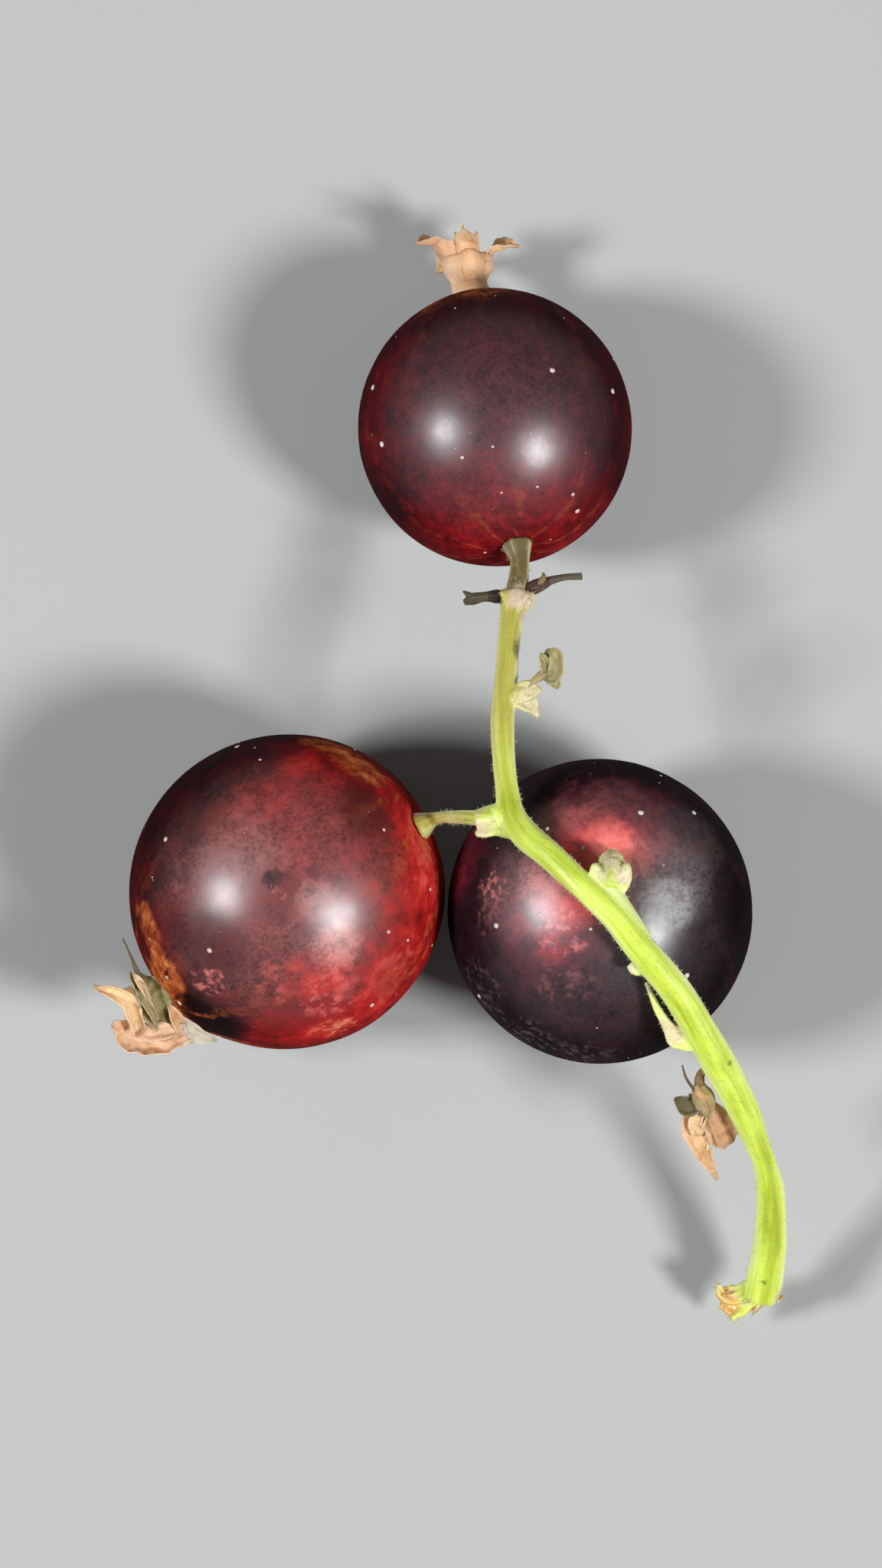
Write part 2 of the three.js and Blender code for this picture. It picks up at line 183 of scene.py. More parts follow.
class Board:
    """A node tree while it is wired up."""

    def __init__(self, tree):
        self.tree = tree

    def node(self, kind, settings=None, inputs=None, output=0):
        """Adds any node: its settings are made first, and then its sockets are fed."""
        made = self.tree.nodes.new(kind)
        for name, value in (settings or {}).items():
            if name == "stops":
                set_stops(made.color_ramp, value)
            else:
                setattr(made, name, value)
        for name, value in (inputs or {}).items():
            self.feed(made.inputs[name], value)
        return None if output is None else Value(self, made.outputs[output])

    def feed(self, socket, value):
        if isinstance(value, Value):
            self.tree.links.new(value.socket, socket)
        elif socket.type == "VECTOR" and isinstance(value, (int, float)):
            socket.default_value = (value, value, value)
        elif socket.type == "RGBA":
            socket.default_value = (*colour(*value), 1.0)
        else:
            socket.default_value = value

    def maths(self, operation, *values):
        wide = any(isinstance(v, tuple) or (isinstance(v, Value) and v.wide) for v in values)
        kind = "ShaderNodeVectorMath" if wide else "ShaderNodeMath"
        output = 1 if operation in ("DOT_PRODUCT", "LENGTH") else 0
        return self.node(kind, {"operation": operation}, dict(enumerate(values)), output)

    def mix(self, share, first, second):
        """The first colour where share is 0, and the second where it is 1."""
        settings = {"data_type": "RGBA", "blend_type": "MIX"}
        return self.node("ShaderNodeMix", settings, {0: share, 6: first, 7: second}, 2)

    def rise(self, value, low, high, start=0.0, end=1.0):
        """Goes smoothly from start to end while value goes from low to high."""
        inputs = {"Value": value, "From Min": low, "From Max": high, "To Min": start, "To Max": end}
        return self.node("ShaderNodeMapRange", {"interpolation_type": "SMOOTHSTEP"}, inputs)

    def noise(self, place, size, detail=2.0, roughness=0.5, output="Fac"):
        """Cloudy noise from 0 to 1 with lumps of that size."""
        inputs = {"Vector": place, "Scale": 1 / size, "Detail": detail, "Roughness": roughness}
        return self.node("ShaderNodeTexNoise", None, inputs, output)

    def ramp(self, value, stops):
        """The colour at a value from 0 to 1, between stops of a value and a colour."""
        return self.node("ShaderNodeValToRGB", {"stops": stops}, {"Fac": value})

    def along(self, vector, way):
        return self.maths("DOT_PRODUCT", vector, way)

    def split(self, vector):
        """The X of a vector, with its Y and Z beside it."""
        return self.node("ShaderNodeSeparateXYZ", None, {"Vector": vector})

    def attribute(self, name, output="Vector"):
        """What the mesh has stored under a name."""
        return self.node("ShaderNodeAttribute", {"attribute_name": name}, output=output)


# ---- Shapes from Geometry Nodes ----


def new_tree(name, **wanted):
    """An empty tree that takes a mesh and the wanted inputs, whose names are given for each kind of
    socket."""
    tree = bpy.data.node_groups.new(name, "GeometryNodeTree")
    board = Board(tree)
    for kind, labels in {"geometry": ["Geometry"], **wanted}.items():
        for label in labels:
            socket_type = "NodeSocket" + kind.title()
            tree.interface.new_socket(label, in_out="INPUT", socket_type=socket_type)
    tree.interface.new_socket("Geometry", in_out="OUTPUT", socket_type="NodeSocketGeometry")
    entry = tree.nodes.new("NodeGroupInput")
    given = {socket.name: Value(board, socket) for socket in entry.outputs if socket.name}
    return tree, board, given


def end_tree(board, parts):
    """Joins the parts, each a geometry and its material, and hands them out as one mesh."""
    joined = board.node("GeometryNodeJoinGeometry")
    for geometry, material in parts:
        plain = board.node("GeometryNodeRealizeInstances", None, {"Geometry": geometry})
        smooth = board.node("GeometryNodeSetShadeSmooth", None, {"Geometry": plain})
        inputs = {"Geometry": smooth, "Material": material}
        done = board.node("GeometryNodeSetMaterial", None, inputs)
        board.feed(joined.socket.node.inputs[0], done)
    board.node("NodeGroupOutput", None, {0: joined}, None)


def worked(mesh, add_modifiers):
    """The plain mesh that modifiers make of a mesh."""
    holder = bpy.data.objects.new("growing", mesh)
    bpy.context.scene.collection.objects.link(holder)
    add_modifiers(holder.modifiers)
    graph = bpy.context.evaluated_depsgraph_get()
    made = bpy.data.meshes.new_from_object(holder.evaluated_get(graph))
    holder.modifiers.clear()
    bpy.data.objects.remove(holder)
    return made


def grow(tree, mesh, inputs):
    """The plain mesh that a tree makes from a mesh."""

    def add_tree(modifiers):
        modifier = modifiers.new("tree", "NODES")
        modifier.node_group = tree
        for item in tree.interface.items_tree:
            if item.in_out == "INPUT" and item.name in inputs:
                modifier[item.identifier] = inputs[item.name]

    return worked(mesh, add_tree)


def scatter(board, mesh, density, seed):
    """Points spread at random over a mesh."""
    return board.node(
        "GeometryNodeDistributePointsOnFaces",
        {"distribute_method": "RANDOM"},
        {"Mesh": mesh, "Density": density, "Seed": seed},
    )


def drawn(board, low, high, seed):
    """A number, or three, drawn at random for each point."""
    kind = "FLOAT_VECTOR" if isinstance(low, tuple) else "FLOAT"
    inputs = {"Min": low, "Max": high, "Seed": seed}
    return board.node("FunctionNodeRandomValue", {"data_type": kind}, inputs, "Value")


def stand(board, points, shape, rotation, size):
    """A copy of a shape standing on each point."""
    inputs = {"Points": points, "Instance": shape, "Rotation": rotation, "Scale": size}
    return board.node("GeometryNodeInstanceOnPoints", None, inputs)


def berry_tree():
    """A round berry with a dimple for its stalk, a low rise under its calyx, and resin specks."""
    sizes = ["Radius", "Oblate", "Dimple depth", "Dimple width", "Crown height", "Lumps"]
    tree, board, given = new_tree(
        "Berry",
        vector=["Centre", "Stalk", "Calyx"],
        float=[*sizes, "Speck size", "Specks"],
        int=["Detail", "Seed"],
        material=["Skin", "Resin"],
    )

    def round_ball(detail):
        inputs = {"Radius": 1.0, "Subdivisions": detail}
        return board.node("GeometryNodeMeshIcoSphere", None, inputs)

    out = board.maths("NORMALIZE", board.node("GeometryNodeInputPosition"))

    def bump(way, height):
        angle = board.maths("ARCCOSINE", board.maths("MINIMUM", board.along(out, way), 1.0))
        share = angle * given["Radius"] / given["Dimple width"]
        return height * board.maths("EXPONENT", share * share * -1.0)

    axis = board.maths("NORMALIZE", given["Stalk"] - given["Calyx"])
    height = board.along(out, axis)
    # no berry is quite round: a few broad lumps, and a finer unevenness on them
    place = out + given["Centre"]
    lumps = (board.noise(place, 0.9, 1.0) - 0.5) * 1.6 + (board.noise(place, 0.22, 2.0) - 0.5) * 0.4
    reach = (
        given["Radius"] * (1 - given["Oblate"] * height * height)
        - bump(given["Stalk"], given["Dimple depth"])
        + bump(given["Calyx"], given["Crown height"])
        + lumps * given["Lumps"]
    )
    place = given["Centre"] + out * reach
    # the weight of the berry rests on a small flat spot
    place = board.maths("MAXIMUM", place, (-1000.0, -1000.0, 0.0))
    inputs = {"Geometry": round_ball(given["Detail"]), "Position": place}
    skin = board.node("GeometryNodeSetPosition", None, inputs)
    points = scatter(board, skin, given["Specks"], given["Seed"])
    share = drawn(board, 0.35, 1.0, given["Seed"])
    squat = board.node("ShaderNodeCombineXYZ", None, {0: 1.0, 1: 1.0, 2: 0.45})
    size = squat * (share * share * given["Speck size"])
    specks = stand(board, points, round_ball(1), points.beside("Rotation"), size)
    end_tree(board, [(skin, given["Skin"]), (specks, given["Resin"])])
    return tree


def limb_tree():
    """Limbs along every line of a mesh, each as thick as the line's own girth."""
    tree, board, given = new_tree(
        "Limb along a line",
        float=["Wrinkle depth", "Wrinkle size", "Seed"],
        int=["Sides"],
        material=["Material"],
    )

    def keep(geometry, name, kind, value):
        settings = {"data_type": kind, "domain": "POINT"}
        inputs = {"Geometry": geometry, "Name": name, "Value": value}
        return board.node("GeometryNodeStoreNamedAttribute", settings, inputs)

    def kept(name, kind):
        return board.node("GeometryNodeInputNamedAttribute", {"data_type": kind}, {"Name": name})

    place = board.node("GeometryNodeInputPosition")
    line = board.node("GeometryNodeMeshToCurve", None, {"Mesh": given["Geometry"]})
    line = keep(line, "middle", "FLOAT_VECTOR", place)
    line = keep(line, "run", "FLOAT", board.node("GeometryNodeSplineParameter", output="Length"))
    inputs = {"Resolution": given["Sides"], "Radius": 1.0}
    ring = board.node("GeometryNodeCurvePrimitiveCircle", None, inputs)
    share = board.node("GeometryNodeSplineParameter", output="Factor")
    ring = keep(ring, "turn", "FLOAT", share * math.tau)
    girth = kept("girth", "FLOAT")
    inputs = {"Curve": line, "Profile Curve": ring, "Scale": girth, "Fill Caps": True}
    skin = board.node("GeometryNodeCurveToMesh", None, inputs)
    turn = kept("turn", "FLOAT")
    parts = [board.maths("COSINE", turn), board.maths("SINE", turn), kept("run", "FLOAT")]
    grain = board.node("ShaderNodeCombineXYZ", None, dict(enumerate(parts)))
    skin = keep(skin, "grain", "FLOAT_VECTOR", grain)
    # wrinkles run lengthwise, as on a limb that has dried and shrunk
    ribs = grain * (1.0, 1.0, 0.35) + given["Seed"]
    wrinkle = (board.noise(ribs, given["Wrinkle size"]) - 0.5) * given["Wrinkle depth"]
    offset = (place - kept("middle", "FLOAT_VECTOR")) * wrinkle
    skin = board.node("GeometryNodeSetPosition", None, {"Geometry": skin, "Offset": offset})
    end_tree(board, [(skin, given["Material"])])
    return tree


def down_tree():
    """Fine hairs standing on a mesh, without the mesh itself."""
    tree, board, given = new_tree(
        "Down", float=["Hairs", "Length", "Girth"], int=["Seed"], material=["Material"]
    )
    points = scatter(board, given["Geometry"], given["Hairs"], given["Seed"])
    inputs = {"Vertices": 4, "Radius Top": 0.0, "Radius Bottom": given["Girth"]}
    inputs["Depth"] = given["Length"]
    hair = board.node("GeometryNodeMeshCone", {"fill_type": "NGON"}, inputs)
    tilt = drawn(board, (-0.7, -0.7, -3.1), (0.7, 0.7, 3.1), given["Seed"])
    tilt = board.node("FunctionNodeEulerToRotation", None, {"Euler": tilt})
    inputs = {"Rotation": points.beside("Rotation"), "Rotate By": tilt}
    turn = board.node("FunctionNodeRotateRotation", {"rotation_space": "LOCAL"}, inputs)
    hairs = stand(board, points, hair, turn, drawn(board, 0.45, 1.2, given["Seed"]))
    end_tree(board, [(hairs, given["Material"])])
    return tree


# ---- Shapes from arrays of points ----


def smooth_path(route, step):
    """Points every step along a smooth curve through a route, whose further columns go along."""
    route = np.asarray(route, float)
    known = np.vstack([2 * route[0] - route[1], route, 2 * route[-1] - route[-2]])
    known[0, 3:], known[-1, 3:] = route[0, 3:], route[-1, 3:]
    rows = []
    share = np.linspace(0, 1, 16, endpoint=False)[:, None]
    for p0, p1, p2, p3 in zip(known, known[1:], known[2:], known[3:]):
        gaps = [math.sqrt(np.linalg.norm((b - a)[:3])) for a, b in ((p0, p1), (p1, p2), (p2, p3))]
        t1 = gaps[0]
        t2 = t1 + gaps[1]
        t3 = t2 + gaps[2]
        t = t1 + share * gaps[1]
        a1 = (t1 - t) / t1 * p0 + t / t1 * p1
        a2 = (t2 - t) / gaps[1] * p1 + (t - t1) / gaps[1] * p2
        a3 = (t3 - t) / gaps[2] * p2 + (t - t2) / gaps[2] * p3
        b1 = (t2 - t) / t2 * a1 + t / t2 * a2
        b2 = (t3 - t) / (t3 - t1) * a2 + (t - t1) / (t3 - t1) * a3
        rows.append((t2 - t) / gaps[1] * b1 + (t - t1) / gaps[1] * b2)
    fine = np.vstack([*rows, route[-1:]])
    run = np.concatenate([[0], np.cumsum(np.linalg.norm(np.diff(fine[:, :3], axis=0), axis=1))])
    places = np.linspace(0, run[-1], max(4, round(run[-1] / step)) + 1)
    return np.column_stack([np.interp(places, run, fine[:, k]) for k in range(fine.shape[1])])


def lines_mesh(routes, step):
    """One mesh of separate lines, each point with its girth, and a tint where the route has one."""
    points, edges, tints = [], [], []
    for route in routes:
        route, tint = route if isinstance(route, tuple) else (route, (1.0, 1.0, 1.0))
        path = smooth_path(route, step)
        edges += [(len(tints) + i, len(tints) + i + 1) for i in range(len(path) - 1)]
        points.append(path)
        tints += [tint] * len(path)
    points = np.vstack(points)
    mesh = bpy.data.meshes.new("lines")
    mesh.from_pydata(points[:, :3].tolist(), edges, [])
    write_values(mesh, "girth", points[:, 3])
    write_values(mesh, "tint", np.array(tints))
    return mesh


def grow_limbs(tree, routes, material, step=0.1, sides=24, wrinkles=(0.0, 1.0, 0.0)):
    """One mesh of limbs along routes. wrinkles are how deep they are, their size and their seed."""
    depth, size, seed = wrinkles
    return grow(tree, lines_mesh(routes, step), {
        "Sides": sides,
        "Wrinkle depth": depth,
        "Wrinkle size": size,
        "Seed": seed,
        "Material": material,
    })


def write_values(mesh, name, values):
    """Stores a number, or three, for each point of a mesh."""
    kind, field = ("FLOAT", "value") if values.ndim == 1 else ("FLOAT_VECTOR", "vector")
    stored = mesh.attributes.new(name, kind, "POINT").data
    stored.foreach_set(field, np.ascontiguousarray(values).ravel())


def unit_rows(rows):
    return rows / np.linalg.norm(rows, axis=1, keepdims=True)


def ways_along(path, rough):
    """The ways up and to the side at each point of a path, with up as near to rough as can be."""
    tangent = unit_rows(np.gradient(path[:, :3], axis=0))
    up = unit_rows(rough - tangent * (tangent @ rough)[:, None])
    return up, np.cross(tangent, up)


class Waves:
    """Smooth unevenness through space, the same on every run."""

    def __init__(self, seed, size, count=24):
        draw = np.random.default_rng(seed)
        ways = unit_rows(draw.normal(size=(count, 3)))
        self.ways = ways * (math.tau / size) * draw.uniform(0.6, 1.5, (count, 1))
        self.starts = draw.uniform(0, math.tau, count)

    def __call__(self, points):
        """From about -1 to 1 at each point."""
        return np.cos(points @ self.ways.T + self.starts).sum(axis=-1) / math.sqrt(len(self.starts))


def thin_shell(grid, thickness, paper, tint, closed=False):
    """A thin closed skin round a grid of points. closed joins its last column to its first."""
    rows, columns = grid.shape[:2]
    if closed:
        across = np.roll(grid, -1, axis=1) - np.roll(grid, 1, axis=1)
    else:
        across = np.gradient(grid, axis=1)
    normals = np.cross(np.gradient(grid, axis=0), across)
    normals /= np.maximum(np.linalg.norm(normals, axis=2, keepdims=True), 1e-9)
    half = np.broadcast_to(np.asarray(thickness, float), (rows, columns))[..., None] / 2
    points = np.stack([grid + normals * half, grid - normals * half]).reshape(-1, 3)
    count = rows * columns
    faces = []
    spans = columns if closed else columns - 1
    for i in range(rows - 1):
        for j in range(spans):
            a, b = i * columns + j, i * columns + (j + 1) % columns
            faces.append((a, b, b + columns, a + columns))
            faces.append((a + columns + count, b + columns + count, b + count, a + count))
    rims = [[(0, j) for j in range(columns)], [(rows - 1, j) for j in range(columns)]]
    if closed:
        rims = [rim + rim[:1] for rim in rims]
    else:
        rims += [[(i, 0) for i in range(rows)], [(i, columns - 1) for i in range(rows)]]
    for rim in rims:
        for (i, j), (k, m) in zip(rim, rim[1:]):
            a, b = i * columns + j, k * columns + m
            faces.append((a, b, b + count, a + count))
    flat = paper.reshape(-1, 3)
    return points, faces, np.concatenate([flat, flat]), np.tile(tint, (2 * count, 1))


def papery_lobe(facing, tint, cup, roll, crumple, thickness, seed, route):
    """A dried lobe along a route whose last column is its half breadth. Its hollow side is towards
    facing, cup is how far it is bent across, roll how much further at its tip, and crumple how far
    it has wrinkled."""
    path = smooth_path(route, 0.07)
    along = np.linspace(0, 1, len(path))
    up, side = ways_along(path, unit(facing))
    across = np.linspace(-1, 1, 23)
    waves = Waves(seed, 1.3)
    ragged = 1 + 0.12 * waves(path[:, :3] * 2.2) * (0.3 + along)
    # the lobe keeps its breadth most of the way, and then rounds off
    rounded = np.sqrt(np.clip(1 - ((along - 0.78) / 0.24).clip(0) ** 2, 0.02, 1))
    half = (path[:, 3] * rounded * ragged)[:, None]
    # the section is an arc whose bend grows towards the tip
    bend = cup + roll * along[:, None] ** 2
    angle = across[None, :] * bend * 1.6
    wide = half * (np.sin(angle) / (bend * 1.6))
    high = half * ((1 - np.cos(angle)) / (bend * 1.6))
    grid = path[:, None, :3] + side[:, None] * wide[..., None] + up[:, None] * high[..., None]
    edge = 0.45 + 0.55 * np.abs(across)[None, :] ** 2
    lift = crumple * waves(grid) * edge + 0.35 * crumple * Waves(seed + 1, 0.45)(grid)
    vein = 0.02 * np.cos(across[None, :] * 7.5) * np.sin(math.pi * along)[:, None]
    grid = grid + up[:, None] * (lift + vein)[..., None]
    paper = np.stack(np.broadcast_arrays(along[:, None], across[None, :], seed * 1.37), axis=-1)
    thin = thickness * (1 - 0.5 * np.abs(across)[None, :] ** 3) * (1 - 0.35 * along[:, None])
    return thin_shell(grid, thin, paper, tint)


def papery_tube(route, tint, crumple=0.06, seed=0, pleat_depth=0.08):
    """An open dried tube along a route whose last column is its radius, pleated lengthwise."""
    path = smooth_path(route, 0.08)
    along = np.linspace(0, 1, len(path))
    up, side = ways_along(path, np.array([0.31, 0.22, 0.93]))
    turn = np.linspace(0, math.tau, 36, endpoint=False)
    pleat = 1 + pleat_depth * (0.4 + along[:, None]) * np.cos(TUBE_PLEATS * turn + seed)[None, :]
    reach = path[:, 3][:, None] * pleat
    ring = side[:, None] * np.cos(turn)[None, :, None] + up[:, None] * np.sin(turn)[None, :, None]
    grid = path[:, None, :3] + ring * reach[..., None]
    grid = grid + ring * (crumple * Waves(seed, 0.8)(grid) * (0.25 + along[:, None]))[..., None]
    across = np.cos(turn)[None, :]
    paper = np.stack(np.broadcast_arrays(along[:, None], across, seed * 1.37), axis=-1)
    return thin_shell(grid, TUBE_THICKNESS, paper, tint, closed=True)


def mesh_of(shells, material):
    """One mesh from shells, each its points, its faces, and the place and tint of its paper."""
    faces = []
    start = 0
    for shell in shells:
        faces += [tuple(start + i for i in face) for face in shell[1]]
        start += len(shell[0])
    mesh = bpy.data.meshes.new("shells")
    mesh.from_pydata(np.vstack([shell[0] for shell in shells]).tolist(), [], faces)
    write_values(mesh, "paper", np.vstack([shell[2] for shell in shells]))
    write_values(mesh, "tint", np.vstack([shell[3] for shell in shells]))
    mesh.materials.append(material)
    shape = bmesh.new()
    shape.from_mesh(mesh)
    bmesh.ops.recalc_face_normals(shape, faces=shape.faces)
    shape.to_mesh(mesh)
    shape.free()
    mesh.shade_smooth()
    return mesh


def rows_of(things, field):
    """Three numbers of each thing, as the rows of an array."""
    rows = np.empty(len(things) * 3)
    things.foreach_get(field, rows)
    return rows.reshape(-1, 3)


def one_mesh(meshes):
    """Several meshes as one, with the materials of all."""
    shape = bmesh.new()
    materials = []
    for mesh in meshes:
        first = len(shape.faces)
        shape.from_mesh(mesh)
        shape.faces.ensure_lookup_table()
        for face in shape.faces[first:]:
            own = mesh.materials[face.material_index]
            if own not in materials:
                materials.append(own)
            face.material_index = materials.index(own)
    made = bpy.data.meshes.new("joined")
    shape.to_mesh(made)
    shape.free()
    for material in materials:
        made.materials.append(material)
    return made


def piece(name, mesh, node):
    """Finishes a piece in metres, where the CAD node that it stands for is."""
    mesh.transform(Matrix.Scale(MM, 4))
    made = bpy.data.objects.new(name, mesh)
    mesh.name = name
    bpy.context.scene.collection.objects.link(made)
    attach(made, "root")
    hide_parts(node)


# ---- Materials ----


class Look(Board):
    """A material with one shader, while it is wired up."""

    def __init__(self, name, **plain):
        """plain gives the sockets that are the same all over."""
        self.material = bpy.data.materials.new(name)
        self.material.use_nodes = True
        super().__init__(self.material.node_tree)
        self.tree.nodes.clear()
        shader = self.node("ShaderNodeBsdfPrincipled")
        self.inputs = shader.socket.node.inputs
        self.node("ShaderNodeOutputMaterial", None, {"Surface": shader}, None)
        self.done(**plain)

    def done(self, **values):
        """Feeds the shader's sockets, and hands out the material."""
        for name, value in values.items():
            label = name.replace("_", " ").title().replace("Ior", "IOR")
            self.feed(self.inputs[label], value)
        return self.material

    def in_millimetres(self):
        """The place on the sprig."""
        inputs = {
            "Vector": self.node("ShaderNodeTexCoord", output="Object"),
            "Scale": (1000.0, 1000.0, 1000.0),
        }
        return self.node("ShaderNodeMapping", None, inputs)

    def relief(self, height, depth):
        """The normal for a height that is worked out from 0 to 1 and worth depth millimetres."""
        inputs = {"Height": height, "Strength": 1.0, "Distance": depth * MM}
        return self.node("ShaderNodeBump", None, inputs)


def under_skin(weight, *reach):
    """How much light goes in and comes out again, and how many millimetres off each colour does."""
    return {"subsurface_weight": weight, "subsurface_radius": reach, "subsurface_scale": MM}


def skin_material(
    name, berry, stages, ground, ripening, bloom, veins, amber=(), marks_and_painted_light=(), crumbs=(), worn=()
):
    """The skin of a berry. It is coloured by how ripe it is, from ground, which holds all over, and
    ripening, which is (way, degrees, how much) for each region that differs. stages are the colours
    from ripe to unripe. bloom is the colour of the grey wax on top, veins is how much they show,
    and amber is where the flesh shows through brownish. marks are (way, degrees, how strong,
    colour): some are spots of the skin's own colour, and some are painted highlight, painted
    reflection and painted shade. crumbs have the same form, and are where the skin is grazed in
    tiny flakes. worn is (way, degrees, share) for each place where the polish has worn off."""
    board = Look(
        name, **under_skin(0.2, 1.0, 0.2, 0.12),
        specular_ior_level=0.0, coat_roughness=0.38, coat_ior=2.2,
    )
    axis = unit(unit(berry["stalk"]) - unit(berry["calyx"]))
    turn = Vector(axis).to_track_quat("Z", "Y")
    ball = board.node(
        "ShaderNodeMapping",
        {"vector_type": "TEXTURE"},
        {
            "Vector": board.node("ShaderNodeTexCoord", output="Object"),
            "Location": tuple(c * MM for c in berry["centre"]),
            "Rotation": tuple(turn.to_euler()),
            "Scale": (berry["radius"] * MM,) * 3,
        },
    )
    out = board.maths("NORMALIZE", ball)
    wander = (board.noise(out, 0.3, 3.0, 0.6, "Color") - 0.5) * 0.3
    rough_out = board.maths("NORMALIZE", out + wander)
    ruffle = (board.noise(out, 0.05, 2.0, 0.6, "Color") - 0.5) * 0.1
    uneven_out = board.maths("NORMALIZE", out + wander * 0.3 + ruffle)

    def region(way, degrees, from_out=rough_out):
        """1 in the middle of a region of the skin, and 0 that many degrees away from it."""
        local = tuple(turn.inverted() @ Vector(unit(way)))
        return board.rise(board.along(from_out, local), math.cos(math.radians(degrees)), 1.0)

    ring = board.maths("NORMALIZE", out * (1.0, 1.0, 0.0))
    streak = board.noise(ring + out * (0.0, 0.0, 0.3), 0.075, 3.0, 0.65)
    mottle = board.noise(out, 0.12, 4.0, 0.7)
    cloud = board.noise(out, 0.55, 3.0, 0.55)
    grit = board.noise(out, 0.024, 2.0, 0.75)

    ripe = (mottle - 0.5) * 0.5 + (streak - 0.5) * 0.2 + (cloud - 0.5) * 0.36
    ripe = ripe + (grit - 0.5) * 0.16 + ground
    for way, degrees, amount in ripening:
        ripe = ripe + region(way, degrees) * amount
    # the skin is most mottled where it is red
    ripe = ripe + (mottle - 0.5) * board.rise(ripe, 0.35, 0.6, 0.0, 0.55)
    skin = board.ramp(ripe, stages)

    # veins run from the stalk to the calyx under the skin, and show most near the two
    parts = board.split(out)
    longitude = board.maths("ARCTAN2", parts.beside("Y"), parts)
    longitude = longitude + (board.noise(out, 0.5, 3.0) - 0.5) * 0.9
    vein = board.rise(board.maths("COSINE", longitude * 9.0), 0.8, 1.0)
    near_ends = region(berry["stalk"], 50, out) + region(berry["calyx"], 48, out)
    vein_share = vein * (near_ends * 0.6 + 0.1) * board.rise(mottle, 0.35, 0.6) * veins
    skin = board.mix(vein_share, skin, (172, 84, 40))
    for way, degrees, amount in amber:
        share = region(way, degrees) * board.rise(mottle * 0.5 + streak * 0.5, 0.33, 0.62) * amount
        skin = board.mix(share, skin, board.ramp(mottle, AMBER))

    wax = region((0, 0, 1), 66) * board.rise(grit + (mottle - 0.5) * 0.6, 0.08, 0.86)
    skin = board.mix(wax * board.rise(ripe, 0.95, 0.5, 0.2, 0.66), skin, bloom)
    broken = board.rise(mottle + (grit - 0.5) * 0.6, 0.32, 0.62, 0.45, 1.15)
    # these are partly spots of the skin's own colour and partly painted highlight, painted
    # reflection and painted shade
    for way, degrees, strength, tint in marks_and_painted_light:
        skin = board.mix(region(way, degrees, uneven_out) * broken * strength, skin, tint)
    flakes = board.rise(board.noise(out, 0.055, 2.0, 0.6) + (mottle - 0.5) * 0.5, 0.46, 0.7)
    for way, degrees, strength, tint in crumbs:
        skin = board.mix(board.rise(region(way, degrees), 0.0, 0.8) * flakes * strength, skin, tint)
    # the skin has the best polish where it has not rubbed against its neighbours
    polish = region((0, 0, 1), 62, out) * 0.46 + 0.05
    for way, degrees, share in worn:
        polish = polish * (1 - region(way, degrees) * share)
    return board.done(
        base_color=skin,
        roughness=board.rise(wax * 0.5 + mottle * 0.5, 0.15, 0.75, 0.36, 0.5),
        coat_weight=polish * board.rise(mottle + (grit - 0.5) * 0.6, 0.3, 0.7, 1.15, 0.85),
        normal=board.relief(grit * 0.6 + mottle * 0.7 + vein * 0.2, 0.014),
    )


def resin_material():
    board = Look("Specks of resin", **under_skin(0.3, 0.4, 0.3, 0.15))
    shade = board.noise(board.in_millimetres(), 0.8)
    amber = board.mix(board.rise(shade, 0.3, 0.7), (214, 168, 140), (238, 226, 220))
    return board.done(base_color=amber, roughness=board.rise(shade, 0.2, 0.8, 0.35, 0.6))


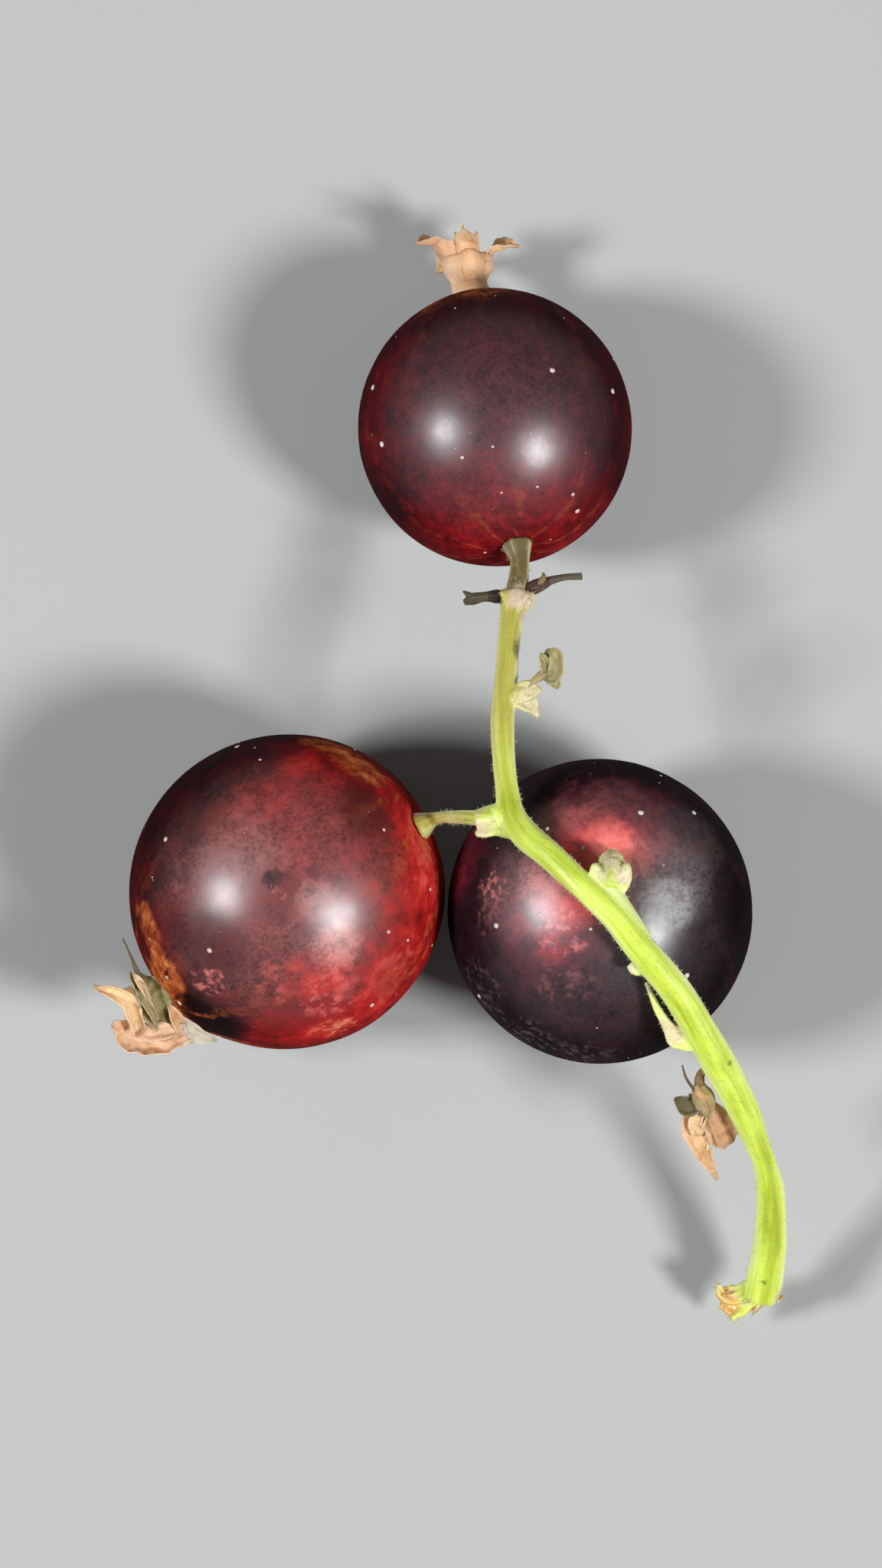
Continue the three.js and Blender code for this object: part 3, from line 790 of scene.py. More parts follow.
def stem_material():
    """The green stem. Its grain attribute runs round and along each limb, and its tone attribute
    says where it is cream, tan or dark."""
    board = Look("Green stem", **under_skin(0.3, 0.5, 0.6, 0.15), coat_roughness=0.3)
    place = board.in_millimetres()
    grain = board.attribute("grain")
    tones = board.split(board.attribute("tone"))
    rib = board.attribute("rib", "Fac")
    fibres = board.noise(grain * (1.0, 1.0, 0.1), 0.2, 4.0, 0.62)
    broad = board.noise(grain * (1.0, 1.0, 0.22), 0.75, 2.0)
    cells = board.noise(place, 0.09, 3.0, 0.65)
    clouds = board.noise(place, 1.3, 3.0)
    # the top is darker than the sides
    turned = board.split(grain)
    upper = board.rise(turned, 0.35, 1.0)
    level = rib * 0.1 + (fibres - 0.5) * 0.5 + (broad - 0.5) * 0.85 + (clouds - 0.5) * 0.4
    level = level - upper * 0.32 + 0.72
    green = board.ramp(level, GREENS)
    parts = board.split(place)
    north = parts.beside("Y") + (clouds - 0.5) * 2.0
    yellower = board.maths("MAXIMUM", board.rise(north, -2.5, 3.0), board.rise(parts, 1.6, 0.6))
    green = board.mix(yellower, green, board.ramp(level, YELLOWS))
    green = board.mix(board.rise(parts.beside("Y"), 6.5, 6.9), green, board.ramp(level, OLIVES))
    # painted highlight: a pale cream streak down one side of each limb
    green = board.mix(board.rise(turned.beside("Y"), 0.72, 1.0) * 0.5, green, (236, 238, 176))
    # painted shade: a darker green band down part of the lower stem, for the shade in its groove
    groove_shade = board.rise(board.maths("ABSOLUTE", turned.beside("Y") - 0.15), 0.34, 0.0)
    groove_shade = groove_shade * board.rise(north, -11.5, -14.0) * 0.55
    green = board.mix(groove_shade, green, (158, 166, 38))
    flecks = board.rise(board.noise(grain * (1.0, 1.0, 0.4), 0.16, 2.0), 0.68, 0.75)
    green = board.mix(flecks * 0.4, green, (140, 142, 50))
    cream = board.rise(cells + (fibres - 0.5) * 0.8, 0.3, 0.7)
    cream = board.mix(cream, (196, 182, 142), (222, 208, 166))
    cream = board.mix(board.rise(parts.beside("Y"), 4.8, 6.0), cream, (196, 172, 146))
    tan = board.ramp(fibres, TANS)
    dark = board.mix(cells, (52, 38, 18), (92, 62, 36))
    ragged = (cells - 0.5) * 0.5 + (fibres - 0.5) * 0.4
    skin = board.mix(board.rise(tones.beside("X") + ragged, 0.28, 0.72), green, cream)
    skin = board.mix(board.rise(tones.beside("Y") + ragged, 0.3, 0.7), skin, tan)
    skin = board.mix(board.rise(tones.beside("Z") + ragged, 0.3, 0.7), skin, dark)
    return board.done(
        base_color=skin,
        roughness=board.rise(fibres + (cells - 0.5) * 0.6, 0.2, 0.8, 0.4, 0.62),
        coat_weight=board.rise(cells, 0.3, 0.7, 0.22, 0.08),
        normal=board.relief(cells * 0.6 + fibres, 0.015),
    )


def down_material():
    board = Look("Down", **under_skin(0.4, 0.5, 0.5, 0.3))
    shade = board.noise(board.in_millimetres(), 0.5, 1.0)
    tint = board.mix(shade, (206, 214, 140), (240, 238, 205))
    return board.done(base_color=tint, roughness=board.rise(shade, 0.2, 0.8, 0.45, 0.7))


def paper_material():
    """Dried flower parts: papery, veined lengthwise, and paler along their edges. The dark veins
    are partly painted shade of folds, and the paler edges are partly painted highlight. The tint
    attribute is the colour of each lobe, and paper and grain run along it."""
    board = Look("Dry paper", **under_skin(0.3, 0.5, 0.35, 0.2), specular_ior_level=0.3)
    place = board.in_millimetres()
    tint = board.attribute("tint")
    paper = board.attribute("paper")
    grain = board.attribute("grain")
    along = board.split(paper)
    across = along.beside("Y")
    veins = board.noise(paper * (1.2, 4.0, 3.1) + grain * (1.0, 1.0, 0.3), 0.5, 4.0, 0.6)
    crumbs = board.noise(place, 0.1, 3.0, 0.65)
    clouds = board.noise(place, 0.7, 3.0, 0.6)
    edge = board.rise(board.maths("ABSOLUTE", across), 0.6, 1.0)
    clear = board.rise(clouds + (crumbs - 0.5) * 0.5, 0.26, 0.56)
    pale_veins = board.rise(veins + (crumbs - 0.5) * 0.3, 0.56, 0.72) * 0.5
    # dark veins, which are partly painted shade of folds
    dark_veins_and_fold_shade = board.rise(veins, 0.42, 0.27) * 0.75
    # paler edges, which are partly painted highlight
    pale_edge_and_highlight = edge * board.rise(crumbs, 0.3, 0.6) * 0.5
    dark_tip = board.rise(along + (clouds - 0.5) * 0.4, 0.75, 1.05) * 0.5
    shade = board.mix(clear, tint * (0.74, 0.66, 0.6), tint)
    shade = board.mix(pale_veins, shade, tint * 0.7 + 0.22)
    shade = board.mix(dark_veins_and_fold_shade, shade, tint * (0.45, 0.33, 0.26))
    shade = board.mix(pale_edge_and_highlight, shade, tint * 0.66 + 0.27)
    shade = board.mix(dark_tip, shade, tint * (0.5, 0.44, 0.42))
    return board.done(
        base_color=shade,
        roughness=board.rise(crumbs, 0.3, 0.7, 0.6, 0.85),
        normal=board.relief(crumbs * 0.6 + veins, 0.03),
    )


def table_material():
    board = Look("Pale table", specular_ior_level=0.25)
    shade = board.noise(board.in_millimetres(), 18.0)
    tint = board.mix(shade, (172, 171, 169), (176, 175, 173))
    return board.done(base_color=tint, roughness=board.rise(shade, 0.0, 1.0, 0.75, 0.8))


# ---- Berries ----

# colours from ripe to unripe, and the places on each skin, in the way that skin_material takes them
AMBER = ((0.3, (128, 44, 18)), (0.5, (186, 88, 40)), (0.72, (224, 142, 84)))
RED_STAGES = (
    (0.0, (20, 3, 5)), (0.22, (54, 7, 11)), (0.42, (102, 14, 16)), (0.62, (150, 22, 22)),
    (0.82, (186, 38, 34)), (1.0, (216, 84, 68)),
)
PURPLE_STAGES = (
    (0.0, (14, 8, 12)), (0.22, (36, 17, 24)), (0.42, (82, 24, 34)), (0.62, (150, 34, 44)),
    (0.8, (212, 54, 58)), (1.0, (240, 100, 90)),
)
WINE_STAGES = (
    (0.0, (16, 4, 7)), (0.25, (44, 7, 12)), (0.5, (98, 12, 18)), (0.75, (150, 24, 28)),
    (1.0, (200, 60, 50)),
)
SIDE_RIPENING = (
    ((0.95, -0.1, 0.25), 60, 0.3), ((0.35, -0.72, 0.6), 34, 0.24), ((0.1, -0.95, 0.3), 36, 0.12),
    ((0.21, -0.5, 0.84), 15, 0.24), ((0.29, -0.86, 0.43), 14, 0.16), ((0.6, -0.58, 0.55), 15, 0.16),
    ((0.76, -0.36, 0.54), 13, 0.16), ((0.82, 0.1, 0.56), 14, 0.16), ((0.0, 0.4, 0.9), 34, 0.1),
    ((-0.1, 0.82, 0.56), 24, 0.16), ((-0.55, 0.78, 0.3), 44, -0.3), ((-0.98, 0.1, 0.2), 40, -0.12),
    ((-0.45, -0.38, 0.8), 24, -0.12), ((-0.5, -0.8, 0.34), 21, -0.42), ((0.93, 0.24, 0.3), 26, 0.2),
    ((0.28, 0.81, 0.51), 20, 0.2), ((0.72, 0.55, 0.42), 20, 0.2), ((-0.68, 0.6, 0.42), 18, 0.1),
)
SIDE_AMBER = (
    ((0.2, 0.94, 0.27), 10, 0.9), ((0.34, 0.89, 0.31), 11, 1.0), ((0.5, 0.77, 0.4), 10, 0.9),
    ((-0.89, -0.14, 0.43), 8, 0.66), ((-0.85, -0.28, 0.45), 9, 0.76),
    ((-0.78, -0.42, 0.46), 9, 0.8), ((-0.71, -0.55, 0.43), 9, 0.7), ((-0.76, -0.6, 0.26), 13, 1.0),
    ((-0.74, -0.66, 0.1), 14, 1.0), ((0.36, -0.84, 0.4), 8, 0.5),
)
# the pale pink patches (170, 132, 128), (238, 164, 156) and (212, 160, 152) are painted highlight
# that widens the two highlights, and the dark red patch (72, 24, 26) is painted shade under the
# left one
SIDE_MARKS_AND_PAINTED_LIGHT = (
    ((-0.3, 0.22, 0.93), 22, 0.3, (170, 132, 128)), ((-0.07, 0.0, 1.0), 13, 0.5, (108, 28, 34)),
    ((-0.41, -0.31, 0.86), 16, 0.56, (72, 24, 26)),
    ((0.33, -0.33, 0.88), 12, 0.44, (238, 164, 156)),
    ((0.21, -0.04, 0.98), 9, 0.26, (212, 160, 152)), ((-0.36, 0.46, 0.81), 14, 0.3, (176, 84, 74)),
    ((0.26, -0.76, 0.6), 12, 0.45, (120, 28, 32)), ((-0.065, 0.09, 0.99), 5.0, 0.8, (26, 4, 10)),
    ((-0.05, 0.02, 1.0), 2.2, 0.6, (186, 96, 100)), ((0.01, -0.02, 1.0), 1.8, 0.6, (166, 80, 86)),
    ((0.18, 0.15, 0.97), 4.0, 0.6, (70, 26, 32)), ((-0.55, -0.44, 0.71), 3.2, 0.7, (60, 10, 16)),
    ((0.0, -0.14, 0.99), 3.0, 0.5, (80, 20, 30)), ((0.1, -0.22, 0.97), 3.0, 0.4, (80, 20, 30)),
    ((0.5, 0.5, 0.7), 15, 0.5, (64, 8, 10)), ((-0.52, 0.5, 0.69), 14, 0.45, (44, 12, 14)),
    ((-0.68, -0.2, 0.7), 9, 0.4, (70, 14, 18)), ((0.05, -0.78, 0.62), 15, 0.42, (74, 16, 20)),
    ((0.37, -0.62, 0.69), 6, 0.3, (226, 110, 104)), ((0.7, -0.52, 0.48), 16, 0.5, (88, 14, 18)),
    ((0.9, 0.28, 0.33), 8, 0.4, (206, 110, 84)),
)
SIDE_CRUMBS = (
    ((-0.47, -0.55, 0.69), 9, 0.7, (214, 118, 110)),
    ((-0.03, -0.55, 0.83), 12, 0.45, (196, 90, 80)),
    ((0.34, -0.86, 0.38), 11, 0.8, (226, 130, 104)),
    ((0.3, -0.62, 0.72), 15, 0.45, (226, 110, 104)), ((0.81, -0.41, 0.42), 15, 0.5, (208, 92, 70)),
    ((-0.2, 0.6, 0.77), 14, 0.3, (170, 80, 72)), ((-0.65, 0.12, 0.75), 12, 0.3, (160, 104, 100)),
)
SIDE_WORN = (
    ((-0.4, -0.28, 0.87), 12, 0.4), ((-0.72, -0.2, 0.66), 15, 0.5), ((0.5, 0.5, 0.7), 22, 0.5),
    ((-0.5, 0.56, 0.66), 26, 0.4),
)
MIDDLE_RIPENING = (
    ((0.06, 0.5, 0.87), 44, 0.32), ((-0.02, 0.47, 0.88), 21, 0.32), ((0.03, 0.46, 0.89), 12, 0.24),
    ((-0.34, -0.02, 0.94), 36, 0.3), ((-0.86, 0.42, 0.28), 28, 0.22),
    ((-0.31, -0.19, 0.93), 12, 0.17), ((-0.55, 0.05, 0.83), 18, 0.1),
    # the last region, darker over the right flank, is painted shade
    ((-0.18, 0.08, 0.98), 13, 0.2), ((0.8, -0.1, 0.6), 60, -0.14),
)
# the grey patches (198, 198, 198), (154, 142, 142) and (120, 84, 86) are a painted highlight, long
# and upright, at the right; the pink patches (150, 108, 110), (206, 96, 98) and (224, 160, 156) are
# painted highlight round the left highlight; (96, 78, 78) is a painted reflection; and (150, 92,
# 90) is painted light where the stem casts its shadow on the berry
MIDDLE_MARKS_AND_PAINTED_LIGHT = (
    ((-0.52, 0.14, 0.85), 24, 0.34, (150, 108, 110)), ((0.3, 0.4, 0.87), 22, 0.3, (120, 84, 86)),
    ((-0.22, 0.1, 0.97), 15, 0.5, (206, 96, 98)), ((0.43, 0.07, 0.9), 13, 0.64, (198, 198, 198)),
    ((0.43, 0.22, 0.88), 23, 0.4, (154, 142, 142)), ((0.27, 0.47, 0.84), 14, 0.35, (160, 70, 72)),
    ((0.58, 0.5, 0.64), 20, 0.3, (96, 78, 78)), ((0.08, 0.46, 0.88), 12, 0.5, (255, 132, 122)),
    ((-0.4, 0.23, 0.89), 14, 0.4, (224, 160, 156)), ((0.1, 0.72, 0.69), 18, 0.3, (136, 82, 82)),
    ((0.06, 0.42, 0.9), 10, 0.55, (255, 140, 132)), ((-0.32, 0.6, 0.73), 13, 0.35, (150, 92, 90)),
    ((-0.08, 0.58, 0.81), 14, 0.36, (196, 112, 108)), ((0.2, 0.36, 0.91), 9, 0.4, (222, 124, 120)),
)
MIDDLE_CRUMBS = (
    ((-0.71, 0.14, 0.69), 9, 0.75, (204, 120, 112)), ((-0.75, -0.04, 0.66), 9, 0.4, (160, 92, 88)),
    ((-0.28, -0.12, 0.95), 12, 0.36, (246, 158, 156)),
    ((-0.3, -0.44, 0.85), 11, 0.3, (150, 96, 92)), ((-0.12, -0.47, 0.87), 8, 0.25, (140, 94, 90)),
    ((-0.76, -0.5, 0.4), 16, 0.4, (104, 90, 92)), ((-0.5, -0.78, 0.37), 16, 0.4, (110, 98, 98)),
    ((-0.1, -0.93, 0.35), 15, 0.35, (104, 92, 92)), ((-0.12, 0.8, 0.58), 20, 0.3, (120, 70, 70)),
)
MIDDLE_WORN = (
    ((-0.44, -0.12, 0.89), 13, 0.34), ((0.78, 0.05, 0.62), 24, 0.65), ((0.62, -0.4, 0.67), 22, 0.5),
    ((0.1, -0.75, 0.65), 26, 0.4),
)
END_RIPENING = (((0.16, -0.85, 0.5), 62, 0.34), ((-0.7, 0.1, 0.6), 40, 0.12))
END_AMBER = (((-0.16, 0.94, -0.1), 34, 0.5),)


def make_berries():
    tree = berry_tree()
    resin = resin_material()
    red = skin_material(
        "Red skin", BERRIES["side"], RED_STAGES, ground=0.33, ripening=SIDE_RIPENING,
        bloom=(150, 94, 92), veins=1.0, amber=SIDE_AMBER, marks_and_painted_light=SIDE_MARKS_AND_PAINTED_LIGHT, crumbs=SIDE_CRUMBS,
        worn=SIDE_WORN,
    )
    purple = skin_material(
        "Purple skin", BERRIES["middle"], PURPLE_STAGES, ground=0.13, ripening=MIDDLE_RIPENING,
        bloom=(88, 68, 72), veins=0.25, marks_and_painted_light=MIDDLE_MARKS_AND_PAINTED_LIGHT, crumbs=MIDDLE_CRUMBS, worn=MIDDLE_WORN,
    )
    wine = skin_material(
        "Wine skin", BERRIES["end"], WINE_STAGES, ground=0.24, ripening=END_RIPENING,
        bloom=(104, 66, 72), veins=0.6, amber=END_AMBER,
    )
    # the name of each, its node, its slot, its skin, how lumpy it is, and its seed
    rows = (
        ("side_berry", "berry_side", "red_skin", red, 0.05, 3),
        ("middle_berry", "berry_middle", "purple_skin", purple, 0.06, 8),
        ("end_berry", "berry_end", "wine_skin", wine, 0.05, 12),
    )
    for name, node, slot, skin, lumps, seed in rows:
        berry = BERRIES[node.removeprefix("berry_")]
        mesh = grow(tree, bpy.data.meshes.new("nothing"), {
            "Centre": berry["centre"],
            "Radius": berry["radius"],
            "Stalk": tuple(unit(berry["stalk"])),
            "Calyx": tuple(unit(berry["calyx"])),
            "Oblate": berry["oblate"],
            "Dimple depth": DIMPLE_DEPTH,
            "Dimple width": DIMPLE_WIDTH,
            "Crown height": CROWN_HEIGHT,
            "Lumps": lumps,
            "Detail": BERRY_DETAIL,
            "Speck size": SPECK_SIZE,
            "Specks": SPECKS,
            "Seed": seed,
            "Skin": skin,
            "Resin": resin,
        })
        piece(name, mesh, node)


# ---- The green stem ----

# colours from the furrows to the ribs: along the arch, towards the last node, past it, and where
# the stem is dry
GREENS = (
    (0.0, (128, 142, 18)), (0.3, (172, 188, 42)), (0.52, (204, 220, 76)), (0.74, (218, 236, 112)),
    (1.0, (230, 238, 168)),
)
YELLOWS = (
    (0.0, (132, 120, 36)), (0.3, (168, 160, 60)), (0.55, (190, 184, 86)), (0.8, (208, 198, 122)),
    (1.0, (220, 204, 160)),
)
OLIVES = ((0.0, (76, 64, 36)), (0.4, (106, 92, 54)), (0.7, (132, 118, 74)), (1.0, (166, 154, 112)))
TANS = ((0.34, (132, 80, 28)), (0.46, (216, 158, 66)), (0.62, (248, 218, 142)))


def stalk_route(name, start, bends, radius, foot):
    """A berry's stalk, from the stem to its wider foot in the berry's dimple."""
    low, high = over_berry(name, "stalk", 0.04), over_berry(name, "stalk", 0.65)
    return [start, *bends, (*high, radius), (*low, foot)]


# x, y, z and radius along the stalks, the cups that grow round the nodes, and the strips of the
# torn end
STALKS = [
    stalk_route(
        "side", (2.45, -1.5, 10.15, 0.4), [(1.4, -1.42, 9.75, 0.29), (0.5, -1.38, 8.75, 0.25)],
        0.25, 0.52,
    ),
    stalk_route("middle", (5.4, -4.1, 11.8, 0.42), [(5.95, -3.45, 11.6, 0.4)], 0.36, 0.5),
    stalk_route("end", (2.62, 6.3, 7.9, 0.42), [(2.76, 7.0, 7.6, 0.37)], 0.36, 0.55),
]
CUPS = [
    [(2.95, -1.95, 10.4, 0.36), (2.35, -1.72, 10.05, 0.42), (1.7, -1.72, 9.9, 0.3)],
    [(2.6, -1.3, 10.1, 0.38), (2.25, -1.35, 10.08, 0.5), (1.9, -1.43, 10.0, 0.52),
     (1.3, -1.54, 9.85, 0.44)],
    [(5.5, -4.2, 11.85, 0.44), (5.8, -3.8, 11.75, 0.44), (6.02, -3.4, 11.72, 0.5),
     (6.03, -3.05, 11.5, 0.5)],
    [(7.1, -5.75, 11.85, 0.42), (6.6, -5.1, 11.9, 0.46), (6.15, -4.4, 11.85, 0.46),
     (5.9, -3.9, 11.8, 0.4)],
    [(2.6, 5.9, 7.97, 0.42), (2.66, 6.3, 7.9, 0.5), (2.7, 6.62, 7.82, 0.6)],
    [(2.25, 2.8, 9.05, 0.42), (2.7, 2.95, 9.1, 0.34), (3.05, 3.05, 9.15, 0.34)],
]
STRIPS = [
    [(11.5, -18.5, 2.75, 0.4), (10.95, -18.9, 2.5, 0.3), (10.5, -19.0, 2.4, 0.25),
     (10.22, -18.82, 2.42, 0.2), (10.14, -18.45, 2.5, 0.12)],
    [(11.5, -18.6, 2.5, 0.42), (11.0, -19.3, 2.0, 0.3), (10.72, -19.9, 1.6, 0.14)],
    [(11.6, -18.6, 2.5, 0.42), (11.1, -19.15, 2.2, 0.26), (10.6, -19.38, 2.1, 0.2),
     (10.2, -19.32, 2.1, 0.12)],
    [(11.7, -18.6, 2.6, 0.45), (11.6, -19.1, 2.3, 0.3), (11.3, -19.45, 2.05, 0.1)],
    [(12.0, -18.5, 2.8, 0.4), (12.2, -18.95, 2.65, 0.17), (12.3, -19.1, 2.6, 0.07)],
]
# the way each bract faces, and its route with a half breadth
BRACTS = [
    ((0.2, 0.3, 1), [(2.15, -1.7, 9.95, 0.3), (1.65, -1.82, 9.95, 0.32), (1.22, -2.0, 9.9, 0.12)]),
    ((-0.3, 0.2, 1), [(5.5, -3.95, 11.85, 0.3), (5.5, -3.5, 12.0, 0.32),
                      (5.42, -3.0, 12.02, 0.16)]),
    ((0.1, 0.2, 1), [(5.85, -3.95, 11.9, 0.3), (5.95, -3.55, 12.02, 0.36),
                     (5.98, -3.15, 12.0, 0.3)]),
    ((0.3, 0, 1), [(6.1, -4.05, 11.85, 0.3), (6.42, -3.55, 12.02, 0.3),
                   (6.58, -2.98, 12.08, 0.16)]),
    ((0.3, 0.3, 1), [(2.5, 2.85, 9.05, 0.3), (3.0, 2.72, 9.15, 0.42), (3.5, 2.2, 9.1, 0.12)]),
    ((0, 0.2, 1), [(2.65, 3.05, 9.1, 0.3), (3.15, 3.12, 9.28, 0.4), (3.6, 3.12, 9.32, 0.12)]),
    ((-0.3, 0.2, 1), [(9.0, -9.45, 10.35, 0.22), (8.4, -9.2, 10.4, 0.38), (7.95, -8.65, 10.6, 0.2),
                      (7.55, -7.95, 10.8, 0.1), (7.25, -7.2, 11.0, 0.06)]),
    ((-0.3, 0.2, 1), [(7.15, -6.8, 11.6, 0.14), (6.85, -6.76, 11.68, 0.18),
                      (6.6, -6.58, 11.74, 0.09)]),
    # the flap that tore off with the stem
    ((0.1, 0.2, 1), [(11.6, -18.5, 2.7, 0.45), (11.0, -19.0, 2.4, 0.6), (10.55, -19.2, 2.2, 0.66),
                     (10.3, -19.3, 2.15, 0.5)]),
    # the ragged collar at the last node
    ((0, -0.1, 1), [(2.6, 6.0, 8.3, 0.34), (2.62, 6.4, 8.38, 0.46), (2.64, 6.74, 8.36, 0.5)]),
    ((0.4, 0, 1), [(2.9, 6.1, 8.1, 0.26), (3.1, 6.42, 8.12, 0.25), (3.32, 6.66, 8.08, 0.1)]),
]
# x, y, z and radius of a place, and how cream, tan and dark it is
TONES = [
    (1.35, -1.8, 10.1, 0.5, 1.0, 0.0, 0.0),
    (1.4, -1.25, 10.15, 0.3, 0.7, 0.5, 0.0),
    (1.75, -1.6, 10.3, 0.5, 0.62, 0.0, 0.0),
    (0.4, -1.4, 8.9, 1.0, 0.5, 0.0, 0.0),
    (5.7, -3.35, 12.1, 0.55, 0.66, 0.0, 0.0),
    (6.5, -3.4, 12.1, 0.5, 1.0, 0.0, 0.0),
    (5.95, -2.75, 11.4, 0.5, 0.9, 0.5, 0.0),
    (6.0, -3.1, 11.8, 0.5, 1.0, 0.3, 0.0),
    (3.4, 2.75, 9.25, 0.95, 1.0, 0.0, 0.0),
    (2.8, 6.45, 8.2, 0.62, 1.0, 0.4, 0.0),
    (2.95, 5.7, 8.2, 0.45, 0.7, 0.0, 0.0),
    (2.1, 6.42, 8.05, 0.3, 0.0, 0.0, 0.8),
    (8.1, -8.9, 10.5, 0.68, 1.0, 0.0, 0.0),
    (7.3, -7.4, 10.95, 0.5, 0.8, 0.0, 0.0),
    (6.68, -6.65, 11.75, 0.3, 1.0, 0.0, 0.0),
    (10.26, -10.09, 10.4, 0.19, 0.0, 0.0, 0.6),
    (9.7, -10.95, 9.2, 0.3, 0.0, 0.55, 0.0),
    (10.1, -12.0, 8.4, 0.24, 0.0, 0.5, 0.0),
    (12.35, -18.95, 2.8, 0.55, 0.9, 0.0, 0.0),
    (10.75, -19.9, 1.7, 0.5, 1.0, 0.0, 0.0),
    (10.15, -18.5, 2.45, 0.3, 1.0, 0.0, 0.0),
    (10.45, -19.15, 2.3, 0.75, 0.0, 0.95, 0.0),
    (11.5, -19.25, 2.3, 0.55, 0.0, 0.75, 0.0),
    (11.75, -18.35, 3.75, 0.2, 0.0, 0.0, 0.6),
]


def grown_together(modifiers):
    """Makes one skin of a mesh's parts."""
    skin = modifiers.new("skin", "REMESH")
    skin.mode = "VOXEL"
    skin.voxel_size = STEM_VOXEL
    soft = modifiers.new("soft", "SMOOTH")
    soft.factor = 0.5
    soft.iterations = 3


def nearest_on(path, points):
    """For each point, the nearest place of a path: its number and how far away it is."""
    numbers, gaps = [], []
    for part in np.array_split(points, max(1, len(points) // 4000)):
        away = np.linalg.norm(part[:, None] - path[None, :, :3], axis=2)
        nearest = away.argmin(axis=1)
        numbers.append(nearest)
        gaps.append(away[np.arange(len(part)), nearest])
    return np.concatenate(numbers), np.concatenate(gaps)


def dress_stem(mesh):
    """Raises the ribs on the stem, and writes the attributes that its material reads."""
    points = rows_of(mesh.vertices, "co")
    normals = rows_of(mesh.vertex_normals, "vector")
    step = 0.08
    best = np.full(len(points), 1e9)
    grain = np.zeros((len(points), 3))
    rib = np.zeros(len(points))
    for number, route in enumerate([STEM_ROUTE, *STALKS, *STRIPS]):
        path = smooth_path(route, step)
        nearest, gap = nearest_on(path, points)
        up, side = ways_along(path, np.array([0.0, 0.0, 1.0]))
        away = points - path[nearest, :3]
        angle = np.arctan2((away * side[nearest]).sum(1), (away * up[nearest]).sum(1))
        run = nearest * step
        own = gap / path[nearest, 3]
        closer = own < best
        best = np.where(closer, own, best)
        twist = 0.35 * np.sin(run * 0.45 + number) + 0.12 * np.sin(run * 1.7)
        values = np.column_stack([np.cos(angle), np.sin(angle), run + 40.0 * number])
        grain = np.where(closer[:, None], values, grain)
        uneven = 0.5 + 0.5 * np.sin(run * 0.8 + 2 * angle)
        rib = np.where(closer, 0.5 - 0.5 * np.cos(STEM_RIBS * (angle + twist)) * uneven, rib)
    fibres = Waves(5, 1.0, 60)
    lengthwise = fibres(grain * (4.0, 4.0, 0.35))
    on_limb = np.clip((1.35 - best) / 0.25, 0, 1)
    raised = (rib - 0.5) * RIB_RISE + lengthwise * FIBRE_RISE
    points = points + normals * (raised * on_limb)[:, None]
    mesh.vertices.foreach_set("co", points.ravel())
    tone = np.zeros((len(points), 3))
    for x, y, z, radius, *amounts in TONES:
        near = np.exp(-((np.linalg.norm(points - (x, y, z), axis=1) / radius) ** 2))
        tone = np.maximum(tone, near[:, None] * amounts)
    write_values(mesh, "grain", grain)
    write_values(mesh, "tone", tone)
    write_values(mesh, "rib", rib)
    mesh.update()


def torn_fibres():
    """Threads of the stem's wood left at its torn end."""
    draw = np.random.default_rng(11)
    routes = []
    for strip in STRIPS:
        path = smooth_path(strip, 0.1)
        for _ in range(14):
            start = draw.integers(0, len(path) // 2)
            stop = min(len(path), start + draw.integers(5, 14))
            offset = draw.normal(size=3) * 0.13
            wander = np.cumsum(draw.normal(size=(stop - start, 3)) * 0.035, axis=0)
            spots = path[start:stop, :3] + offset * (path[start:stop, 3:] * 3.2) + wander
            girths = np.linspace(0.055, 0.02, len(spots)) * draw.uniform(0.7, 1.3)
            tint = STRAW if draw.uniform() < 0.6 else GOLD
            routes.append((np.column_stack([spots, girths])[::2], tint))
    foot = np.array(STEM_ROUTE[0][:3])
    outward = unit(foot - np.array(STEM_ROUTE[1][:3]))
    for _ in range(16):
        around = draw.normal(size=3)
        around -= outward * (around @ outward)
        start = foot + around / np.linalg.norm(around) * 0.6 * math.sqrt(draw.uniform())
        start = start - outward * 0.15
        long = draw.uniform(0.25, 0.5)
        lean = draw.normal(size=3) * 0.12 + np.array([-0.2, 0, 0]) * long
        spots = [start, start + outward * 0.5 * long + lean * 0.4, start + outward * long + lean]
        routes.append(([(*spot, girth) for spot, girth in zip(spots, (0.09, 0.07, 0.02))], STRAW))
    return routes


def make_stem(limbs, paper):
    green = stem_material()
    body = grow_limbs(limbs, [STEM_ROUTE, *STALKS, *CUPS, *STRIPS], green)
    bracts = [
        papery_lobe(facing, (1, 1, 1), 0.42, 0.0, 0.04, 0.3, 60 + i, route)
        for i, (facing, route) in enumerate(BRACTS)
    ]
    whole = worked(one_mesh([body, mesh_of(bracts, green)]), grown_together)
    dress_stem(whole)
    whole.materials.clear()
    whole.materials.append(green)
    whole.shade_smooth()
    down = grow(down_tree(), whole, {
        "Hairs": HAIRS,
        "Length": HAIR_LENGTH,
        "Girth": HAIR_GIRTH,
        "Seed": 4,
        "Material": down_material(),
    })
    threads = grow_limbs(limbs, torn_fibres(), paper, step=0.08, sides=5)
    piece("green_stem", one_mesh([whole, down, threads]), "stem")


# ---- Dried flower parts ----

PEACH = colour(232, 180, 136)
PALE = colour(198, 186, 164)
ROSE = colour(236, 190, 154)
PINK = colour(214, 162, 128)
CREAM = colour(240, 198, 150)
TAN = colour(196, 152, 104)
UMBER = colour(132, 104, 68)
OLIVE = colour(168, 156, 106)
KHAKI = colour(172, 150, 108)
FAWN = colour(142, 132, 84)
MOSS = colour(96, 90, 62)
SEPIA = colour(80, 72, 50)
STRAW = colour(236, 212, 158)
GOLD = colour(214, 158, 66)
# DARK, BROWN and GREY_TAN, and SEPIA above, are partly painted shade where the dead stalks use them
DARK = colour(58, 44, 30)
BROWN = colour(78, 54, 42)
GREY_TAN = colour(90, 78, 64)

